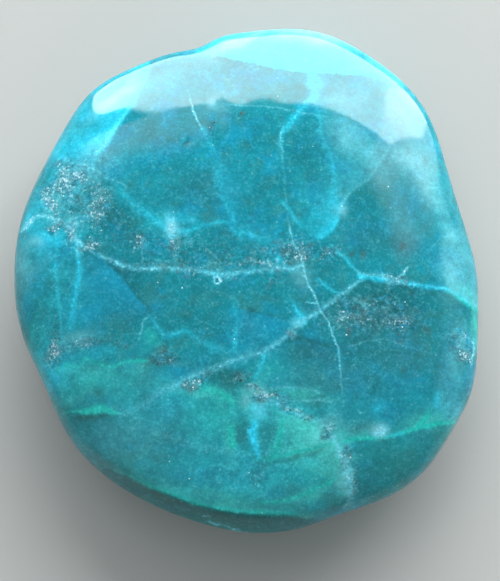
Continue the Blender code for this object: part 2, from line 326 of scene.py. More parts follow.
GREEN_SEAMS = (
    # The left patch's edge.
    ((-21.0, -11.4, 0.18, 0.3), (-19.8, -10.8, 0.19, 0.42), (-18.5, -11.0, 0.18, 0.3),
     (-17.7, -10.1, 0.17, 0.3), (-16.8, -10.7, 0.18, 0.42), (-15.7, -11.0, 0.18, 0.3),
     (-14.6, -11.2, 0.18, 0.36), (-13.6, -10.8, 0.2, 0.42), (-12.2, -10.7, 0.18, 0.48),
     (-10.7, -10.7, 0.14, 0.36)),
    # The green streak.
    ((-20.3, -15.9, 0.09, 0.3), (-18.8, -15.9, 0.12, 0.75), (-17.6, -16.0, 0.23, 1.0),
     (-16.8, -15.9, 0.33, 1.0), (-15.9, -15.8, 0.35, 1.0), (-15.0, -16.0, 0.27, 1.0),
     (-14.5, -16.2, 0.15, 1.0), (-13.7, -16.4, 0.09, 0.45)),
    # The right shoulder's edge.
    ((22.0, -2.2, 0.25, 0.2), (23.5, -2.9, 0.3, 0.6), (25.0, -3.8, 0.3, 0.8), (26.0, -4.3, 0.25, 0.6)),
    # The right rim.
    ((25.4, -4.6, 0.18, 0.5), (25.6, -6.6, 0.18, 0.5), (25.5, -8.6, 0.18, 0.3)),
    # The right line.
    ((10.6, -19.7, 0.14, 0.33), (11.9, -19.2, 0.19, 0.63), (13.6, -19.1, 0.14, 0.63),
     (15.3, -19.0, 0.11, 0.5), (16.9, -18.5, 0.12, 0.5), (18.3, -18.0, 0.15, 0.8),
     (19.7, -17.6, 0.2, 0.8), (21.6, -17.1, 0.2, 0.8), (23.4, -16.7, 0.14, 0.5)),
    # Its tip.
    ((18.7, -17.7, 0.18, 0.82), (19.7, -16.8, 0.2, 0.87), (20.4, -15.8, 0.15, 0.41)),
    # The lobe's line.
    ((0.4, -21.6, 0.14, 0.14), (3.2, -21.2, 0.17, 0.43), (5.4, -20.7, 0.17, 0.58),
     (7.5, -20.2, 0.17, 0.68), (9.2, -19.8, 0.17, 0.61), (10.5, -19.4, 0.14, 0.36)),
    # The lobe's near line.
    ((11.0, -22.7, 0.18, 0.18), (9.8, -23.5, 0.19, 0.54), (8.1, -24.3, 0.19, 0.59),
     (5.9, -25.3, 0.19, 0.59), (3.7, -25.9, 0.19, 0.45), (1.3, -26.0, 0.18, 0.13)),
    # The lobe's far line.
    ((-6.4, -13.4, 0.2, 0.15), (-5.0, -13.6, 0.32, 0.45), (-3.4, -14.1, 0.36, 0.55),
     (-2.0, -14.8, 0.32, 0.5), (-1.4, -15.7, 0.22, 0.25)),
    # The near edge.
    ((-15.0, -22.0, 0.16, 0.06), (-12.1, -23.4, 0.2, 0.28), (-10.5, -24.2, 0.2, 0.32),
     (-8.9, -24.7, 0.2, 0.41), (-6.8, -25.5, 0.2, 0.41), (-5.2, -26.1, 0.2, 0.41),
     (-3.4, -26.5, 0.2, 0.41), (-1.0, -26.9, 0.2, 0.41), (1.8, -27.1, 0.2, 0.46),
     (4.3, -27.2, 0.2, 0.32), (7.1, -27.4, 0.2, 0.17)),
    # The fold right of the blue drop.
    ((4.0, -17.2, 0.23, 0.36), (3.7, -18.8, 0.25, 0.72), (3.3, -20.4, 0.23, 0.72),
     (2.6, -21.7, 0.23, 0.27)),
    # The short fold.
    ((-1.6, -17.8, 0.28, 0.56), (-1.6, -19.1, 0.3, 1.0), (-1.4, -20.2, 0.28, 0.68)),
    # The bend's fill.
    ((-10.9, -7.3, 0.34, 0.1), (-10.3, -8.0, 0.45, 0.25), (-9.7, -8.6, 0.39, 0.17),
     (-9.1, -9.5, 0.34, 0.05)),
)
DARK_SEAMS = (
    # Under the streak.
    ((-19.4, -16.5, 0.23, 0.11), (-18.0, -16.6, 0.34, 0.43), (-16.5, -16.5, 0.34, 0.51),
     (-15.4, -16.5, 0.27, 0.4), (-14.5, -16.7, 0.23, 0.11)),
    # Over the blue zone.
    ((-1.5, -4.8, 0.22, 0.22), (0.4, -5.2, 0.24, 0.32), (1.8, -5.6, 0.24, 0.32), (3.5, -6.1, 0.24, 0.32),
     (4.8, -6.5, 0.22, 0.22)),
    # Under the middle vein's start.
    ((-16.8, 1.1, 0.23, 0.3), (-15.7, 0.3, 0.29, 0.52), (-14.4, -0.5, 0.27, 0.38),
     (-12.8, -0.9, 0.23, 0.15)),
    # Under the lobe's line.
    ((1.3, -22.0, 0.23, 0.11), (3.7, -21.6, 0.29, 0.28), (5.9, -21.1, 0.32, 0.41),
     (8.1, -20.5, 0.29, 0.41), (9.8, -19.9, 0.23, 0.22)),
    # Right of the slanting vein.
    ((4.1, -8.6, 0.29, 0.28), (5.4, -8.2, 0.29, 0.39), (7.0, -8.6, 0.29, 0.33), (8.7, -9.0, 0.26, 0.28),
     (10.1, -9.4, 0.22, 0.11)),
    # A crack in the right half.
    ((9.2, -9.1, 0.13, 0.06), (11.4, -9.8, 0.13, 0.17), (13.8, -9.7, 0.13, 0.17),
     (16.4, -9.7, 0.13, 0.19), (18.6, -9.9, 0.13, 0.17), (20.5, -10.1, 0.13, 0.06)),
    # Beside the right upright.
    ((6.0, 13.2, 0.34, 0.05), (6.6, 11.4, 0.45, 0.08), (6.9, 9.4, 0.45, 0.08), (6.5, 7.3, 0.45, 0.05)),
)
SEAMS = {"pale": PALE_SEAMS, "cyan": CYAN_SEAMS, "green": GREEN_SEAMS, "dark": DARK_SEAMS}

# Veils are sheets in the stone that end at a line, and lie on its left. Each place on the line has
# x, y, how far the veil reaches before it fades, and strength. The dark one below the near edge is
# painted shade, and the cyan one on the far shoulder is partly painted light.
CYAN_VEILS_AND_LIT_RIM = (
    # The wedge.
    ((-17.7, 10.9, 2.4, 0.26), (-16.9, 12.0, 2.8, 0.6), (-15.9, 13.7, 3.2, 0.73),
     (-15.4, 14.9, 3.2, 0.77), (-13.9, 17.0, 3.2, 0.73), (-12.8, 18.6, 3.2, 0.65),
     (-12.1, 20.3, 3.0, 0.6), (-11.3, 22.8, 2.5, 0.52), (-10.9, 25.8, 2.2, 0.43)),
    # The lobe.
    ((7.3, 2.5, 1.6, 0.2), (8.0, 2.8, 2.0, 0.45), (9.1, 3.4, 2.2, 0.6), (10.0, 4.4, 2.2, 0.6),
     (10.5, 5.8, 2.0, 0.5), (11.0, 7.2, 1.8, 0.3)),
    # The far shoulder: partly painted light, brighter cyan where the rim faces the window, as if lit
    # through.
    ((-5.2, 25.4, 3.0, 0.5), (-3.3, 24.9, 4.0, 0.85), (-0.5, 24.1, 5.0, 0.9), (1.1, 23.7, 5.0, 0.9),
     (3.6, 23.0, 5.0, 0.9), (7.0, 22.6, 5.0, 0.85), (10.6, 22.5, 5.0, 0.7), (14.1, 22.4, 4.0, 0.5),
     (16.7, 22.6, 3.0, 0.3)),
)
BLUE_VEILS = (
    # The left triangle.
    ((-10.8, -5.1, 1.2, 0.3), (-11.1, -4.7, 1.6, 0.7), (-12.2, -3.4, 2.2, 0.85), (-13.3, -2.0, 2.6, 0.8),
     (-14.8, -0.3, 2.8, 0.7), (-16.5, 1.6, 2.2, 0.5)),
    # The middle triangle.
    ((5.3, -6.6, 1.5, 0.2), (4.8, -6.5, 2.4, 0.55), (3.5, -6.1, 3.0, 0.65), (1.8, -5.6, 3.0, 0.65),
     (0.4, -5.3, 2.8, 0.6), (-1.2, -4.9, 2.4, 0.5), (-2.2, -4.7, 2.0, 0.1)),
)
GREEN_VEILS = (
    # The left patch.
    ((-10.5, -10.7, 1.5, 0.12), (-10.9, -10.7, 2.4, 0.21), (-12.2, -10.7, 3.0, 0.22),
     (-13.6, -10.8, 3.2, 0.22), (-14.6, -11.2, 3.2, 0.21), (-15.7, -11.0, 3.2, 0.21),
     (-16.8, -10.7, 3.2, 0.21), (-17.7, -10.1, 3.0, 0.18), (-18.5, -11.0, 3.0, 0.21),
     (-19.8, -10.8, 2.6, 0.22), (-21.0, -11.4, 2.0, 0.16)),
    # The lobe.
    ((8.4, -26.6, 1.5, 0.1), (10.4, -25.8, 2.2, 0.35), (11.5, -25.0, 2.8, 0.5), (11.9, -23.9, 3.2, 0.6),
     (11.6, -22.4, 3.4, 0.7), (10.8, -20.9, 3.6, 0.8), (9.7, -19.3, 3.8, 0.85), (8.6, -17.8, 3.6, 0.85),
     (7.3, -17.0, 3.2, 0.75), (5.9, -16.8, 2.8, 0.6), (4.3, -16.4, 2.2, 0.35), (2.8, -15.9, 1.8, 0.1)),
    # Above the right line.
    ((10.6, -19.7, 0.8, 0.2), (11.9, -19.2, 0.9, 0.35), (13.6, -19.0, 1.0, 0.4), (15.3, -18.9, 0.8, 0.2),
     (16.9, -18.5, 0.8, 0.2), (18.3, -18.0, 0.9, 0.5), (19.7, -17.6, 1.0, 0.5), (21.6, -17.1, 1.0, 0.5),
     (23.4, -16.7, 0.8, 0.3)),
    # Above the near edge.
    ((-17.2, -20.9, 1.0, 0.05), (-14.7, -22.3, 1.4, 0.15), (-12.1, -23.4, 1.6, 0.25),
     (-8.9, -24.8, 1.6, 0.25), (-5.2, -26.2, 1.6, 0.25), (-1.0, -27.0, 1.6, 0.28),
     (1.8, -27.1, 1.6, 0.28), (7.1, -27.5, 1.4, 0.2)),
)
PALE_VEILS = (
    # The right shoulder.
    ((23.4, 4.9, 2.0, 0.2), (22.0, 3.7, 2.6, 0.35), (21.8, 1.8, 3.0, 0.45), (22.0, -0.2, 3.2, 0.5),
     (22.4, -2.2, 3.2, 0.55), (23.5, -2.8, 3.2, 0.6), (24.9, -3.6, 3.0, 0.6), (25.9, -4.0, 3.0, 0.5)),
    # The leaf.
    ((10.5, 6.0, 1.6, 0.13), (11.8, 8.5, 2.6, 0.22), (13.7, 9.9, 3.2, 0.22), (14.7, 11.6, 3.4, 0.22),
     (16.0, 13.6, 3.2, 0.19), (16.8, 15.2, 3.0, 0.13)),
    # The left rim.
    ((-24.9, -2.3, 1.6, 0.09), (-24.3, -1.6, 2.0, 0.18), (-23.5, -1.0, 2.2, 0.2),
     (-22.6, -0.2, 2.2, 0.2), (-21.8, 0.7, 2.0, 0.18), (-21.0, 1.4, 1.6, 0.05)),
)
DARK_AND_SHADE_VEILS = (
    # Below the near edge: painted shade on the steep near face, which faces away from the window.
    ((10.9, -27.0, 1.5, 0.09), (9.3, -27.6, 2.0, 0.37), (7.1, -27.5, 3.0, 0.69), (1.8, -27.2, 4.0, 0.83),
     (-1.0, -27.0, 4.0, 0.87), (-5.2, -26.2, 4.0, 0.87), (-8.9, -24.9, 4.0, 0.78),
     (-12.1, -23.5, 3.4, 0.51), (-14.7, -22.3, 2.4, 0.23), (-16.5, -21.1, 1.6, 0.05)),
    # Beside the leaf.
    ((16.8, 15.2, 1.0, 0.07), (16.0, 13.6, 1.6, 0.28), (14.7, 11.6, 2.0, 0.35), (13.7, 9.9, 2.0, 0.35),
     (11.8, 8.5, 1.8, 0.28), (10.8, 7.1, 1.4, 0.14)),
    # Above the left triangle.
    ((-17.1, 2.2, 1.2, 0.2), (-16.5, 1.6, 1.6, 0.4), (-14.8, -0.3, 1.8, 0.45), (-13.3, -2.0, 1.8, 0.45),
     (-12.2, -3.4, 1.6, 0.4), (-11.1, -4.7, 1.2, 0.3)),
    # Below the right vein.
    ((25.9, -4.1, 2.0, 0.4), (23.5, -3.0, 2.8, 0.5), (20.9, -2.4, 3.0, 0.5), (17.6, -2.1, 3.0, 0.45),
     (14.2, -1.8, 2.6, 0.45), (12.8, -1.8, 2.2, 0.4), (11.5, -2.8, 1.8, 0.3), (8.7, -5.0, 1.4, 0.2)),
)
VEILS = {
    "pale": PALE_VEILS,
    "cyan": CYAN_VEILS_AND_LIT_RIM,
    "blue": BLUE_VEILS,
    "green": GREEN_VEILS,
    "dark": DARK_AND_SHADE_VEILS,
}

# Clouds are soft ellipses of one colour: x, y, half length, half width, turn in degrees, strength.
# Brown ones are small smudges, lobe ones are light folds in the green, and crust ones are where the
# surface is grainy and crystals show. A few dark ones along the near edge are painted shade, and some
# pale and cyan ones along the far rim are partly painted light.
BLUE_CLOUDS = (
    (-14.4, 10.8, 1.4, 0.9, 0, 0.6), (-12.3, 12.1, 1.8, 0.9, 10, 0.3), (-7.6, 13.2, 1.4, 0.9, 0, 0.45),
    (-2.3, 8.9, 1.5, 3.4, 12, 0.35), (-16.7, -1.4, 2.7, 2.5, 0, 0.3), (-7.2, -12.0, 1.7, 0.9, 15, 0.75),
    (-4.5, -10.9, 1.6, 0.7, 15, 0.4), (1.0, -8.3, 3.8, 1.7, 0, 0.3), (18.7, 2.1, 1.9, 1.6, 0, 0.45),
    (21.2, 1.1, 1.0, 1.7, 0, 0.4), (14.2, -5.1, 0.6, 0.6, 0, 0.9), (-21.6, -12.3, 0.9, 1.0, 0, 0.65),
    (15.4, -17.0, 1.7, 1.4, 0, 0.3), (16.7, -13.2, 1.8, 0.9, 20, 0.25), (-1.7, -23.0, 2.7, 1.4, 0, 0.3),
    (-20.7, 2.6, 2.2, 1.6, 0, 0.3), (12.1, 2.8, 1.8, 1.6, 0, 0.25), (9.2, -9.0, 2.2, 3.4, 0, 0.15),
    (-4.6, 15.0, 1.0, 0.7, 0, 0.5), (2.6, 2.7, 2.9, 1.1, 0, 0.2), (-15.3, 17.1, 3.4, 4.5, 30, 0.2),
    (16.9, -14.8, 6.8, 4.5, 0, 0.1),
)
CYAN_AND_LIT_RIM_CLOUDS = (
    (-19.8, 13.7, 2.4, 2.7, 30, 0.45), (-3.4, 25.9, 1.5, 0.6, 15, 0.9),
    (-19.6, 11.0, 1.8, 1.2, 30, 0.35), (6.0, -6.2, 0.7, 0.6, 0, 0.7), (9.1, 5.9, 1.6, 2.2, 15, 0.15),
    (-5.0, -12.6, 1.0, 0.9, 0, 0.35), (3.4, -15.4, 1.4, 0.8, -15, 0.3), (23.0, -15.8, 1.0, 1.2, 0, 0.35),
    (-8.2, 4.1, 0.7, 1.3, 15, 0.8), (22.8, -13.4, 1.1, 2.7, -15, 0.15), (21.4, -14.9, 0.7, 0.7, 0, 0.5),
    (-22.4, 3.6, 1.8, 2.2, 0, 0.4), (-21.6, -11.0, 1.8, 2.2, 0, 0.3), (-16.0, -9.9, 3.0, 0.9, 0, 0.2),
    (14.3, -15.8, 0.8, 0.5, 0, 0.5), (1.8, 3.3, 2.5, 0.9, -10, 0.25), (-6.2, 5.3, 1.0, 0.5, 0, 0.35),
    (-20.5, 4.0, 1.8, 1.0, 0, 0.4), (-24.1, 5.5, 0.9, 0.6, 30, 0.6), (3.0, 0.6, 1.2, 1.2, 0, 0.15),
    # The clouds at 10.8, 27.3 and at 17.6, 22.6 are partly painted light on the far rim, which faces the
    # window.
    (-23.6, 7.2, 3.2, 0.7, 63, 0.35), (1.3, -16.2, 0.8, 1.1, 0, 0.45), (10.8, 27.3, 4.5, 0.6, -20, 0.5),
    (17.6, 22.6, 2.2, 0.7, -40, 0.4), (8.1, 20.8, 0.7, 1.8, 0, 0.3), (21.8, 14.0, 1.1, 3.4, 20, 0.2),
)
GREEN_CLOUDS = (
    (-3.4, -16.3, 3.6, 2.9, 0, 0.45), (-17.0, -12.8, 5.4, 2.0, 0, 0.32), (5.9, -19.3, 3.4, 2.2, 15, 0.3),
    (1.8, -15.0, 2.7, 1.1, -20, 0.3), (7.0, -22.7, 3.1, 1.8, 20, 0.35), (20.0, -17.6, 1.5, 0.6, 10, 0.6),
    (5.4, -14.4, 3.0, 0.45, -3, 0.6), (12.0, -19.0, 1.5, 0.6, 8, 0.35),
    (-0.7, -26.0, 6.8, 0.8, -8, 0.25), (-5.1, -28.2, 6.8, 1.2, -12, 0.6),
    (-10.2, -8.0, 0.9, 1.0, 0, 0.4), (15.9, -21.4, 5.6, 3.4, 20, 0.25), (2.6, -12.0, 1.4, 1.4, 0, 0.35),
    (23.7, -5.7, 1.6, 2.2, 0, 0.15), (-10.5, -9.5, 3.4, 0.9, 0, 0.15), (-20.7, -19.7, 3.4, 3.4, 0, 0.2),
    (-12.8, -25.6, 4.5, 1.0, -27, 0.55), (-23.9, -6.8, 1.8, 4.5, 0, 0.2),
    (22.7, -18.6, 2.2, 3.4, 20, 0.3),
)
DARK_AND_SHADE_CLOUDS = (
    (6.9, 11.8, 1.7, 3.6, 5, 0.28), (-14.0, 4.9, 2.7, 1.6, 0, 0.35), (-6.6, -6.9, 2.7, 1.6, 10, 0.25),
    (-2.1, -12.8, 2.5, 1.1, -10, 0.62), (-0.4, -18.3, 1.0, 2.0, 0, 0.5), (2.6, -19.0, 1.0, 1.4, 0, 0.4),
    (-2.4, -8.3, 1.4, 1.8, 0, 0.22), (-15.0, -17.2, 2.2, 1.8, 0, 0.2), (16.3, 11.7, 1.2, 1.6, 20, 0.2),
    (15.3, -4.2, 5.6, 2.0, -6, 0.3), (-17.7, -17.0, 2.5, 0.7, 0, 0.4), (-15.9, -14.5, 1.0, 1.0, 0, 0.35),
    (6.2, -9.8, 2.7, 1.1, -8, 0.3), (15.9, -21.7, 4.5, 2.7, 20, 0.25), (-3.4, 1.6, 3.4, 1.1, -5, 0.2),
    (-10.8, 15.7, 1.4, 2.2, 0, 0.15), (18.3, 7.6, 4.5, 2.2, 0, 0.15), (5.9, -15.0, 3.4, 0.7, 0, 0.3),
    (-0.7, 16.7, 4.5, 1.1, 0, 0.15), (-6.2, -2.3, 3.4, 0.9, -10, 0.2), (-12.8, -6.2, 1.1, 1.6, 0, 0.2),
    (-25.1, -6.7, 0.7, 5.6, 0, 0.2), (13.0, -7.5, 7.0, 4.5, -5, 0.22), (-0.5, -4.0, 5.0, 3.0, -10, 0.08),
    # The clouds at -12.0, -23.4, at 2.0, -26.6 and at -16.4, -21.8 are painted shade along the near edge.
    (13.0, 3.0, 4.0, 2.5, 0, 0.1), (24.0, -17.4, 0.7, 3.4, 15, 0.3), (-12.0, -23.4, 4.0, 1.2, -27, 0.5),
    (2.0, -26.6, 4.2, 0.9, 0, 0.5), (-16.4, -21.8, 1.6, 2.6, 35, 0.4), (14.6, -4.1, 1.6, 1.2, 0, 0.25),
    (17.4, 2.6, 2.0, 1.6, 0, 0.34),
)
PALE_AND_LIT_RIM_CLOUDS = (
    (-18.1, -8.0, 1.9, 0.8, 10, 0.3), (23.4, 0.1, 1.6, 3.1, -10, 0.35), (-3.5, 18.6, 0.9, 0.9, 0, 0.35),
    (-23.7, 3.3, 0.8, 0.7, 0, 0.4), (-19.3, 4.9, 0.6, 0.7, 0, 0.7), (14.5, -18.3, 1.1, 0.6, 5, 0.9),
    (13.4, 13.6, 1.8, 2.2, 0, 0.25), (-8.2, 4.1, 0.6, 0.95, 15, 0.95), (-24.7, 0.9, 0.8, 2.7, 0, 0.3),
    # The clouds along the far rim, from -14.8, 20.2 to 18.4, 19.8, are partly painted light: that rim faces
    # the window.
    (10.8, 15.2, 2.0, 1.8, 0, 0.4), (6.2, 28.0, 6.0, 0.9, -8, 0.8), (-1.2, 26.6, 2.6, 0.8, 30, 0.6),
    (14.6, 24.9, 4.0, 0.9, -42, 0.35), (-14.8, 20.2, 3.6, 0.8, 40, 0.6),
    (18.4, 19.8, 2.4, 0.8, -58, 0.25), (10.6, 19.3, 3.0, 1.6, -15, 0.25),
    (18.0, 12.4, 2.2, 1.8, -50, 0.5), (20.6, 9.8, 1.2, 2.0, 10, 0.4), (5.9, -6.4, 0.6, 0.5, 0, 0.5),
    (1.8, -14.6, 0.7, 0.8, 0, 0.7), (0.1, -15.1, 0.6, 0.7, 0, 0.5), (1.3, -16.2, 0.8, 1.0, 0, 0.25),
    (10.4, 6.2, 0.5, 0.7, 0, 0.5), (21.9, 7.3, 1.4, 1.1, -40, 0.3), (8.6, -18.4, 1.1, 1.8, -40, 0.35),
    (10.3, -21.6, 1.1, 1.9, 15, 0.2), (-13.8, -19.2, 5.6, 2.9, 0, 0.12),
    (23.1, -12.8, 1.4, 3.4, 0, 0.12), (-21.3, 7.2, 1.8, 1.6, 0, 0.2), (-17.8, 11.8, 2.8, 2.2, 30, 0.25),
    (22.8, 4.4, 1.2, 1.6, 0, 0.3), (10.8, -23.8, 0.8, 1.5, 15, 0.35), (23.4, -7.6, 1.4, 2.6, 0, 0.2),
    (6.1, -1.4, 1.0, 1.0, 0, 0.3), (14.6, 10.6, 1.6, 1.6, 0, 0.15), (23.0, -15.8, 1.0, 1.2, 0, 0.2),
)
LOBE_CLOUDS = (
    (6.5, -18.2, 2.6, 1.2, -35, 0.7), (9.0, -19.4, 1.4, 1.5, 0, 0.65), (6.2, -20.2, 2.8, 0.7, 14, 0.5),
    (9.6, -22.2, 1.8, 0.7, 22, 0.65), (-1.6, -19.8, 0.6, 2.0, 0, 0.45),
    (-4.6, -14.3, 3.0, 0.5, -10, 0.5), (-4.0, -25.6, 5.5, 0.6, -14, 0.25),
    (6.4, -25.4, 3.6, 0.5, 20, 0.45), (5.0, -14.7, 4.2, 0.6, -4, 0.5), (24.4, -2.4, 1.8, 0.6, -25, 0.6),
    (25.6, -6.0, 0.5, 3.0, 5, 0.45), (21.0, -16.6, 2.4, 0.5, 14, 0.3),
    (-13.4, -25.6, 3.6, 0.5, -30, 0.2), (-19.6, -14.6, 2.0, 0.5, 6, 0.3),
    (0.6, -16.0, 1.6, 0.5, -30, 0.35),
)
BROWN_CLOUDS = (
    (17.3, -6.5, 0.5, 0.5, 0, 0.9), (11.9, -5.8, 0.35, 0.3, 0, 0.8), (13.6, -6.3, 0.4, 0.3, 0, 0.7),
    (11.9, 1.0, 0.3, 0.35, 0, 0.7), (13.4, 1.0, 0.3, 0.35, 0, 0.7), (17.6, 2.4, 0.3, 0.4, 0, 0.6),
    (18.5, -2.8, 0.3, 0.35, 0, 0.7), (20.1, -7.0, 0.4, 0.35, 0, 0.6), (11.3, -7.8, 0.35, 0.45, 0, 0.6),
    (16.9, -11.3, 0.3, 0.3, 0, 0.5), (17.3, -8.5, 0.4, 0.3, 0, 0.6), (-3.7, 16.0, 0.35, 0.45, 0, 0.55),
    (-0.6, 17.5, 0.3, 0.3, 0, 0.55), (-6.7, 14.1, 0.3, 0.3, 0, 0.5), (-7.9, 2.2, 0.35, 0.6, 0, 0.65),
    (-12.4, 2.4, 0.4, 0.5, 0, 0.5), (-9.0, -9.6, 0.6, 0.5, 0, 0.7), (-10.2, -11.0, 0.9, 0.5, 15, 0.65),
    (-8.2, -10.6, 0.5, 0.35, 0, 0.6), (-1.0, -12.4, 0.6, 0.35, -10, 0.6),
    (6.5, -17.0, 0.35, 0.3, 0, 0.5), (-18.9, 8.0, 0.45, 0.6, 0, 0.5), (-17.2, 8.8, 0.5, 0.4, 0, 0.4),
    (4.9, -7.8, 0.35, 0.3, 0, 0.5),
)
DULL_CLOUDS = (
    (17.4, 3.2, 3.2, 2.2, 0, 0.25), (13.0, 2.8, 2.4, 1.6, 0, 0.2), (18.0, 9.0, 3.5, 2.5, 0, 0.15),
    (14.6, -6.8, 4.8, 2.0, 0, 0.32), (17.8, -10.0, 4.6, 2.0, 0, 0.34), (7.0, -12.9, 4.4, 1.6, 0, 0.3),
    (7.5, -9.9, 2.6, 1.4, 0, 0.3), (12.5, -12.8, 4.5, 2.2, 0, 0.18), (-10.8, -12.9, 2.0, 1.4, 0, 0.25),
    (22.4, -13.2, 1.6, 2.6, 0, 0.4), (20.4, -18.2, 2.6, 1.6, 20, 0.25), (12.0, -18.2, 1.8, 1.1, 0, 0.6),
    (-4.6, 8.6, 3.6, 2.4, 0, 0.22), (-9.4, 14.5, 2.8, 2.0, 0, 0.18), (0.5, -6.9, 1.4, 1.2, 0, 0.25),
    (-8.0, -16.6, 2.2, 0.9, 10, 0.12), (-10.6, -4.4, 3.0, 2.0, 0, 0.12),
)
CLEAR_CLOUDS = (
    (0.4, -18.0, 11.5, 6.0, 0, 0.45), (4.3, -19.2, 5.5, 4.5, 0, 0.25), (-1.3, -23.0, 5.0, 2.2, 0, 0.35),
    (-9.6, -14.9, 4.5, 2.2, 15, 0.3), (-20.8, -11.0, 2.6, 2.8, 0, 0.35),
    (-7.9, -12.8, 2.2, 1.3, 15, 0.25), (-22.3, 7.2, 1.8, 3.0, 0, 0.45), (-19.0, 7.8, 2.2, 3.0, 0, 0.35),
    (-19.7, 4.5, 2.4, 1.6, 0, 0.3), (-9.0, 4.5, 2.6, 1.2, 0, 0.35), (6.0, 8.8, 1.2, 2.2, 0, 0.3),
    (-13.7, 12.2, 2.2, 1.6, 0, 0.2), (-20.6, -2.5, 2.4, 5.5, 0, 0.25), (19.8, 9.8, 3.0, 2.2, -50, 0.2),
    (14.4, -17.6, 1.8, 1.0, 5, 0.2), (22.9, -14.7, 1.3, 1.8, 0, 0.25), (8.8, -20.3, 2.2, 3.4, 0, 0.25),
    (-17.5, -13.0, 4.5, 1.8, 0, 0.22), (-22.6, -9.0, 1.6, 2.6, 15, 0.4), (3.4, -20.8, 1.8, 2.2, 0, 0.4),
    (0.6, -24.3, 1.8, 1.4, 0, 0.45), (10.4, -22.4, 1.4, 2.0, 0, 0.3),
)
CRUST_CLOUDS = (
    (-6.0, 1.5, 12.0, 2.6, -4, 0.26), (13.0, -6.0, 6.5, 2.8, -5, 0.28),
    (-20.7, 10.7, 0.9, 1.4, 10, 0.75), (-22.0, 8.0, 0.7, 1.9, 15, 0.75), (3.0, 16.5, 6.0, 2.0, 0, 0.12),
    (-18.2, 10.6, 1.4, 0.7, -25, 0.6), (-21.6, 4.9, 0.9, 0.8, 0, 0.6), (-19.4, 3.6, 0.7, 1.6, -20, 0.65),
    (-16.9, 6.8, 1.2, 1.9, 0, 0.5), (-15.9, 8.4, 0.9, 0.9, 0, 0.5), (-17.4, 2.4, 0.9, 0.7, 0, 0.6),
    (-16.4, 5.9, 3.1, 1.8, 0, 0.32), (-13.0, 9.5, 5.0, 4.0, 0, 0.14), (-18.2, 11.2, 3.2, 2.2, 30, 0.26),
    (23.2, -8.2, 1.6, 2.4, 0, 0.34), (3.2, -1.6, 1.2, 0.8, 0, 0.3), (-19.6, -1.0, 2.6, 3.0, 0, 0.1),
    (-20.6, 8.6, 2.8, 3.8, 15, 0.32), (-12.2, 2.3, 0.9, 0.7, 0, 0.5), (-7.7, 2.4, 0.6, 0.9, 0, 0.5),
    (-21.2, -9.2, 1.0, 1.7, -25, 0.9), (-17.8, -8.6, 2.0, 0.7, 10, 0.55),
    (-8.8, -10.4, 1.6, 1.0, 0, 0.45), (-6.1, -13.2, 1.1, 0.6, 20, 0.5), (-0.7, -13.0, 1.3, 0.6, 0, 0.45),
    (1.8, -14.5, 2.2, 0.8, -20, 0.62), (4.8, -16.1, 1.7, 0.6, -20, 0.55),
    (6.3, -17.2, 0.9, 0.6, 0, 0.55), (9.2, -18.4, 0.6, 1.1, -40, 0.5),
    (10.8, -21.4, 0.6, 1.8, -20, 0.52), (11.8, -23.9, 0.5, 1.6, 0, 0.52), (24.3, -9.7, 0.9, 0.7, 0, 1.0),
    (4.9, 2.1, 2.9, 1.6, 0, 0.4), (14.8, -4.6, 5.2, 2.5, -5, 0.2), (17.0, -6.3, 1.1, 0.9, 0, 0.4),
    (0.7, -23.2, 1.1, 1.4, 0, 0.35), (6.2, 0.5, 0.9, 0.9, 0, 0.6), (9.3, 1.1, 1.1, 1.1, 0, 0.4),
    (24.4, -7.4, 0.7, 0.7, 0, 0.35), (16.5, -1.6, 2.7, 0.6, -5, 0.5), (4.8, -7.9, 0.9, 0.7, 0, 0.5),
    (-13.3, -8.6, 1.4, 0.7, 0, 0.35), (-5.0, -12.9, 2.2, 0.6, 25, 0.5), (1.8, 0.0, 5.6, 0.5, 0, 0.35),
    (-5.1, -0.9, 4.5, 0.5, 0, 0.3), (-9.5, -0.2, 3.4, 0.5, 0, 0.3), (10.9, -6.0, 1.4, 1.1, 0, 0.35),
)
CLOUDS = {
    "blue": BLUE_CLOUDS,
    "cyan": CYAN_AND_LIT_RIM_CLOUDS,
    "green": GREEN_CLOUDS,
    "dark": DARK_AND_SHADE_CLOUDS,
    "pale": PALE_AND_LIT_RIM_CLOUDS,
    "clear": CLEAR_CLOUDS,
    "dull": DULL_CLOUDS,
    "lobe": LOBE_CLOUDS,
    "brown": BROWN_CLOUDS,
    "crust": CRUST_CLOUDS,
}

# How the marks run on through the stone. They lean sideways by up to LEAN for each millimetre down, and
# fade with depth. SEAM_REACH counts in half widths, and VEIL_REACH in the length over which a veil fades.
# A seam weakens over the outer share of its reach, and a margin keeps the seams of one layer apart.
LEAN = 0.35
LEAN_SEED = 7
PATH_STEP = 0.35
SEAM_DEPTH = {"pale": 14.0, "cyan": 12.0, "green": 12.0, "dark": 16.0}
SEAM_REACH = 2.2
SEAM_BORDER = 0.1
SEAM_MARGIN = 0.3
SEAM_OUTER_SHARE = 0.4
SEAM_END_TAPER = 0.4
NO_SEAM = (0.0, 0.0, 0.0)
VEIL_DEPTH = 12.0
VEIL_REACH = 2.6
VEIL_BEHIND = 0.6
VEIL_END_TAPER = 1.0
SHORTEST_VEIL = 0.1
FAINTEST_VEIL = 0.004
NO_VEIL = (-1.0, 0.0, 0.0)
CLOUD_DEPTH = 14.0
CLOUD_WARP = 0.9
CLOUD_WARP_SIZE = 2.6
CLOUD_WARP_SEEDS = (1, 2)

